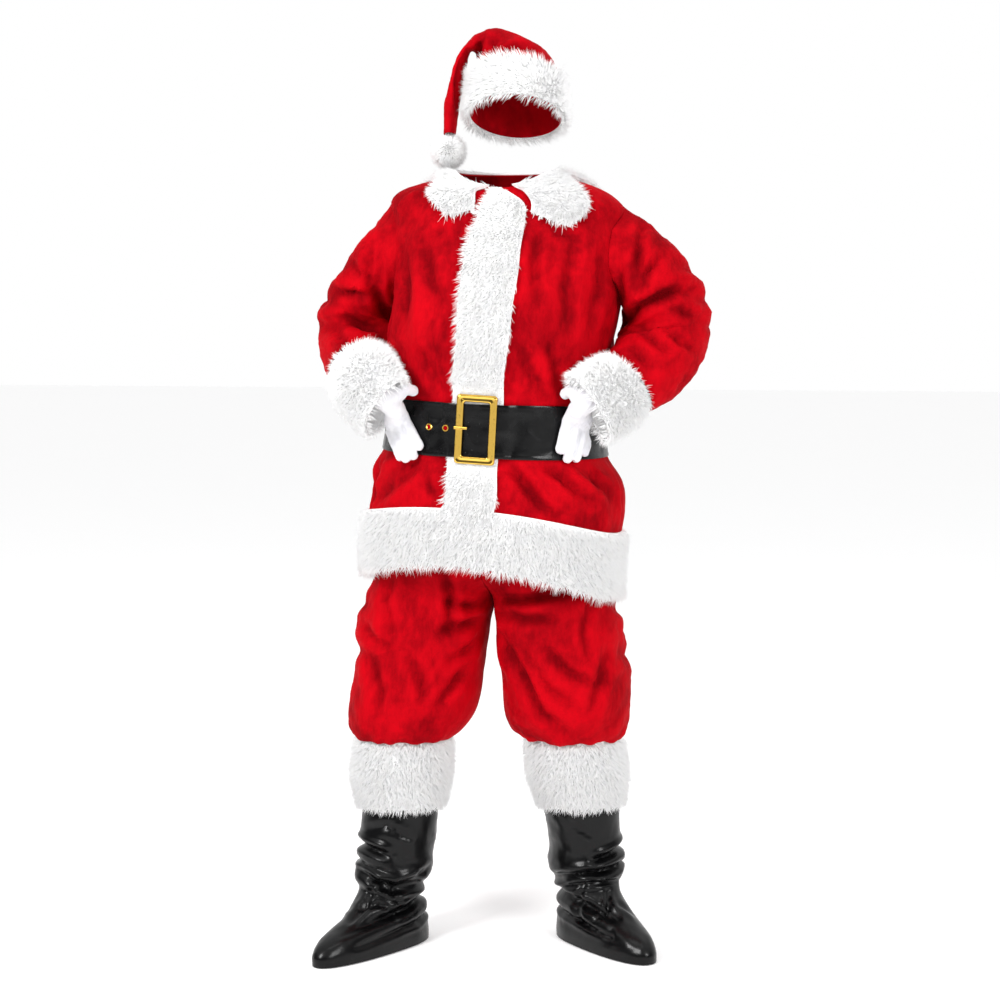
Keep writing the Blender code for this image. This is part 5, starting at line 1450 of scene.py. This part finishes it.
makeHat()
makePompom()
print("hat made")

# Gloves: fingers, palm, thumb and wrist joined into one skin, opened at the wrist.
fingerTable = {
    "right": (
        (-0.1458, -0.1750, 1.030, 0.0100, -0.1158, -0.1905, 0.984, 0.0088),
        (-0.1598, -0.1660, 1.024, 0.0102, -0.1278, -0.1865, 0.966, 0.0088),
        (-0.1738, -0.1550, 1.019, 0.0098, -0.1428, -0.1810, 0.960, 0.0085),
        (-0.1858, -0.1440, 1.018, 0.0090, -0.1558, -0.1730, 0.962, 0.0080),
    ),
    "left": (
        (0.1572, -0.1611, 1.029, 0.0100, 0.1452, -0.1661, 0.979, 0.0088),
        (0.1712, -0.1481, 1.022, 0.0102, 0.1572, -0.1566, 0.962, 0.0088),
        (0.1852, -0.1341, 1.019, 0.0098, 0.1712, -0.1421, 0.962, 0.0085),
        (0.1962, -0.1191, 1.021, 0.0090, 0.1842, -0.1251, 0.971, 0.0080),
    ),
}
wristPoints = {
    "right": (
        (-0.188, -0.205, 1.084, 0.021), (-0.168, -0.2255, 1.0705, 0.021), (-0.157, -0.202, 1.051, 0.017),
    ),
    "left": (
        (0.214, -0.173, 1.081, 0.021), (0.199, -0.1985, 1.071, 0.021), (0.180, -0.182, 1.052, 0.017),
    ),
}
thumbPoints = {
    "right": (
        (-0.160, -0.225, 1.071, 0.016), (-0.136, -0.209, 1.090, 0.0105), (-0.126, -0.1915, 1.0855, 0.0095),
    ),
    "left": (
        (0.189, -0.199, 1.072, 0.016), (0.168, -0.187, 1.088, 0.0105), (0.155, -0.1715, 1.0810, 0.0095),
    ),
}
glove = {
    "fullness": 1.08, "voxel": 0.0022, "easing": 6,
    "dartHeight": 0.0012, "dartWidth": 0.0017, "dartShare": 0.75, "dartReach": 0.03,
    "wrinkleDepth": 0.0004, "wrinkleWave": 0.012,
    "flatShare": 0.62,  # laid flat, the knit's outline fills this much of its box
}


def gloveSkin(chains):
    # The hull of each pair of balls, all joined into one skin by a remesh and eased.
    whole = bmesh.new()
    for pair in chains:
        bm = bmesh.new()
        for ball in pair:
            bmesh.ops.create_icosphere(bm, subdivisions=3, radius=glove["fullness"] * ball[3],
                                       matrix=Matrix.Translation(ball[:3]))
        bmesh.ops.delete(bm, geom=list(bm.edges), context="EDGES_FACES")
        hull = bmesh.ops.convex_hull(bm, input=list(bm.verts), use_existing_faces=False)
        spare = [item for item in hull["geom_interior"] if isinstance(item, bmesh.types.BMVert)]
        bmesh.ops.delete(bm, geom=spare, context="VERTS")
        one = bpy.data.meshes.new("hull")
        bm.to_mesh(one)
        bm.free()
        whole.from_mesh(one)
        bpy.data.meshes.remove(one)
    bmesh.ops.recalc_face_normals(whole, faces=whole.faces)
    bmesh.ops.translate(whole, verts=whole.verts, vec=(-heldAt).tolist())
    hulls = bpy.data.meshes.new("hulls")
    whole.to_mesh(hulls)
    whole.free()
    form = linked("form", hulls)
    joined = form.modifiers.new("joined", "REMESH")
    joined.mode = "VOXEL"
    joined.voxel_size = glove["voxel"]
    form.modifiers.new("eased", "SMOOTH").iterations = glove["easing"]
    skin = bpy.data.meshes.new_from_object(form.evaluated_get(bpy.context.evaluated_depsgraph_get()))
    bpy.data.objects.remove(form, do_unlink=True)
    return skin


def dartLift(points, normals, knuckles, wristEnd):
    # Raised darts on the back of the hand, from between the knuckles towards the wrist: a narrow
    # bell across each of them, times half a wave along it.
    lift = np.zeros(len(points))
    for first, second in zip(knuckles[:-1], knuckles[1:]):
        start = (np.array(first[:3]) + np.array(second[:3])) / 2 - heldAt
        run = (wristEnd - start) * glove["dartShare"]
        t = np.clip(((points - start) @ run) / (run @ run), 0, 1)
        away = points - start - t[:, None] * run
        gap = np.abs((away * unit(np.cross(run, normals))).sum(-1))
        near = np.linalg.norm(away, axis=-1) < glove["dartReach"]
        along = np.sin(math.pi * (0.08 + 0.84 * t))
        lift += glove["dartHeight"] * np.exp(-((gap / glove["dartWidth"]) ** 2)) * along * near
    return lift


def makeGlove(word):
    knuckles = [row[:4] for row in fingerTable[word]]
    wrist, thumb = wristPoints[word], thumbPoints[word]
    chains = [(row[:4], row[4:]) for row in fingerTable[word]]
    chains += list(zip(wrist[:-1], wrist[1:])) + list(zip(thumb[:-1], thumb[1:]))
    chains += [(wrist[-1], knuckle) for knuckle in knuckles] + list(zip(knuckles[:-1], knuckles[1:]))
    skin = gloveSkin(chains)
    skin.name = "glove" + word.capitalize()
    # Opened straight across the wrist.
    bm = bmesh.new()
    bm.from_mesh(skin)
    start, beyond = Vector(wrist[0][:3]) - Vector(heldAt), Vector(wrist[1][:3]) - Vector(heldAt)
    bmesh.ops.bisect_plane(bm, geom=bm.verts[:] + bm.edges[:] + bm.faces[:], plane_co=start,
                           plane_no=(start - beyond).normalized(), clear_outer=True)
    bm.to_mesh(skin)
    bm.free()
    co, no = (np.zeros(3 * len(skin.vertices), np.float32) for _ in range(2))
    skin.vertices.foreach_get("co", co)
    skin.vertices.foreach_get("normal", no)
    points, normals = co.reshape(-1, 3).astype(float), no.reshape(-1, 3).astype(float)
    lift = dartLift(points, normals, knuckles, np.array(wrist[-1][:3]) - heldAt)
    lift += glove["wrinkleDepth"] * unevenness(points, glove["wrinkleWave"], 121)
    skin.vertices.foreach_set("co", (points + normals * lift[:, None]).astype(np.float32).ravel())
    skin.shade_smooth()
    skin.materials.clear()
    skin.materials.append(knit)
    piece = linked(skin.name, skin)
    wall = piece.modifiers.new("wall", "SOLIDIFY")
    wall.thickness = knitWall
    wall.offset = -1
    declare(piece, ["glove_" + word])
    # From the wrist to the longest finger's end, and as wide as the area asks.
    area = float(sum(polygon.area for polygon in skin.polygons))
    length = max(np.linalg.norm(np.array(tip[:3]) - wrist[0][:3]) + tip[3] for _, tip in chains[:4])
    float(area / (glove["flatShare"] * length))


makeGlove("right")
makeGlove("left")
print("gloves made")

# Stage: a pale floor that runs off white, a bright sky for fill, and three soft boxes.
floorMaterial, floorShader, floorPlace = startMaterial("paleFloor", {
    "Roughness": 0.9, "Specular IOR Level": 0.1, "Emission Color": grey(1.0), "Emission Strength": 0.12})
connect(floorShader, {"Base Color": floorPlace.noise(2.0).blend(grey(0.95), grey(0.97))})
floorReach, floorHeight = 30.0, -heldAt[2]
floorMesh = bpy.data.meshes.new("floor")
floorMesh.from_pydata([(x * floorReach, y * floorReach, floorHeight)
                       for x, y in ((-1, -1), (1, -1), (1, 1), (-1, 1))], [], [(0, 1, 2, 3)])
floorMesh.materials.append(floorMaterial)
floor = linked("floor", floorMesh)

# The sky is white behind the suit and above it, and dim in front, so that the vinyl and the brass
# show the soft boxes.
world = bpy.data.worlds.new("studio")
world.use_nodes = True
sky = Wire(world.node_tree)
towards = sky.node("TexCoord", {}, {}, 0)
behind = sky.node("SeparateXYZ", {}, {0: towards}, 1).ramp(-0.1, 0.45)
above = sky.node("SeparateXYZ", {}, {0: towards}, 2).ramp(0.35, 0.7)
shade = behind.math("MAXIMUM", behind, above).blend(grey(0.16, 0.01), grey(1.0))
world.node_tree.links.new(shade.socket, world.node_tree.nodes["Background"].inputs["Color"])
bpy.context.scene.world = world

softBoxes = {  # place, power in watts, size in metres
    "keyLight": ((-2.0, -3.4, 1.5), 150.0, 1.3),
    "fillLight": ((2.8, -2.8, 0.6), 80.0, 1.3),
    "topLight": ((0.2, -0.9, 2.6), 15.0, 1.6),
}
for name, (place, power, size) in softBoxes.items():
    lamp = bpy.data.lights.new(name, "AREA")
    lamp.energy = power
    lamp.size = size
    light = linked(name, lamp)
    light.location = place
    light.rotation_euler = (Vector((0, 0, -0.5)) - Vector(place)).to_track_quat("-Z", "Y").to_euler()

lens = bpy.data.cameras.new("camera")
lens.sensor_width = 36.0
lens.lens = lens.sensor_width * focalPixels / (2 * pictureMiddle)
camera = linked("camera", lens)
camera.location = (cameraDistance * math.sin(cameraAzimuth) - heldAt[0],
                   -cameraDistance * math.cos(cameraAzimuth), cameraHeight - heldAt[2])
camera.rotation_euler = (math.pi / 2 - cameraTilt, 0, cameraAzimuth)
bpy.context.scene.camera = camera

bpy.context.scene.view_settings.view_transform = "Standard"
print("scene made")
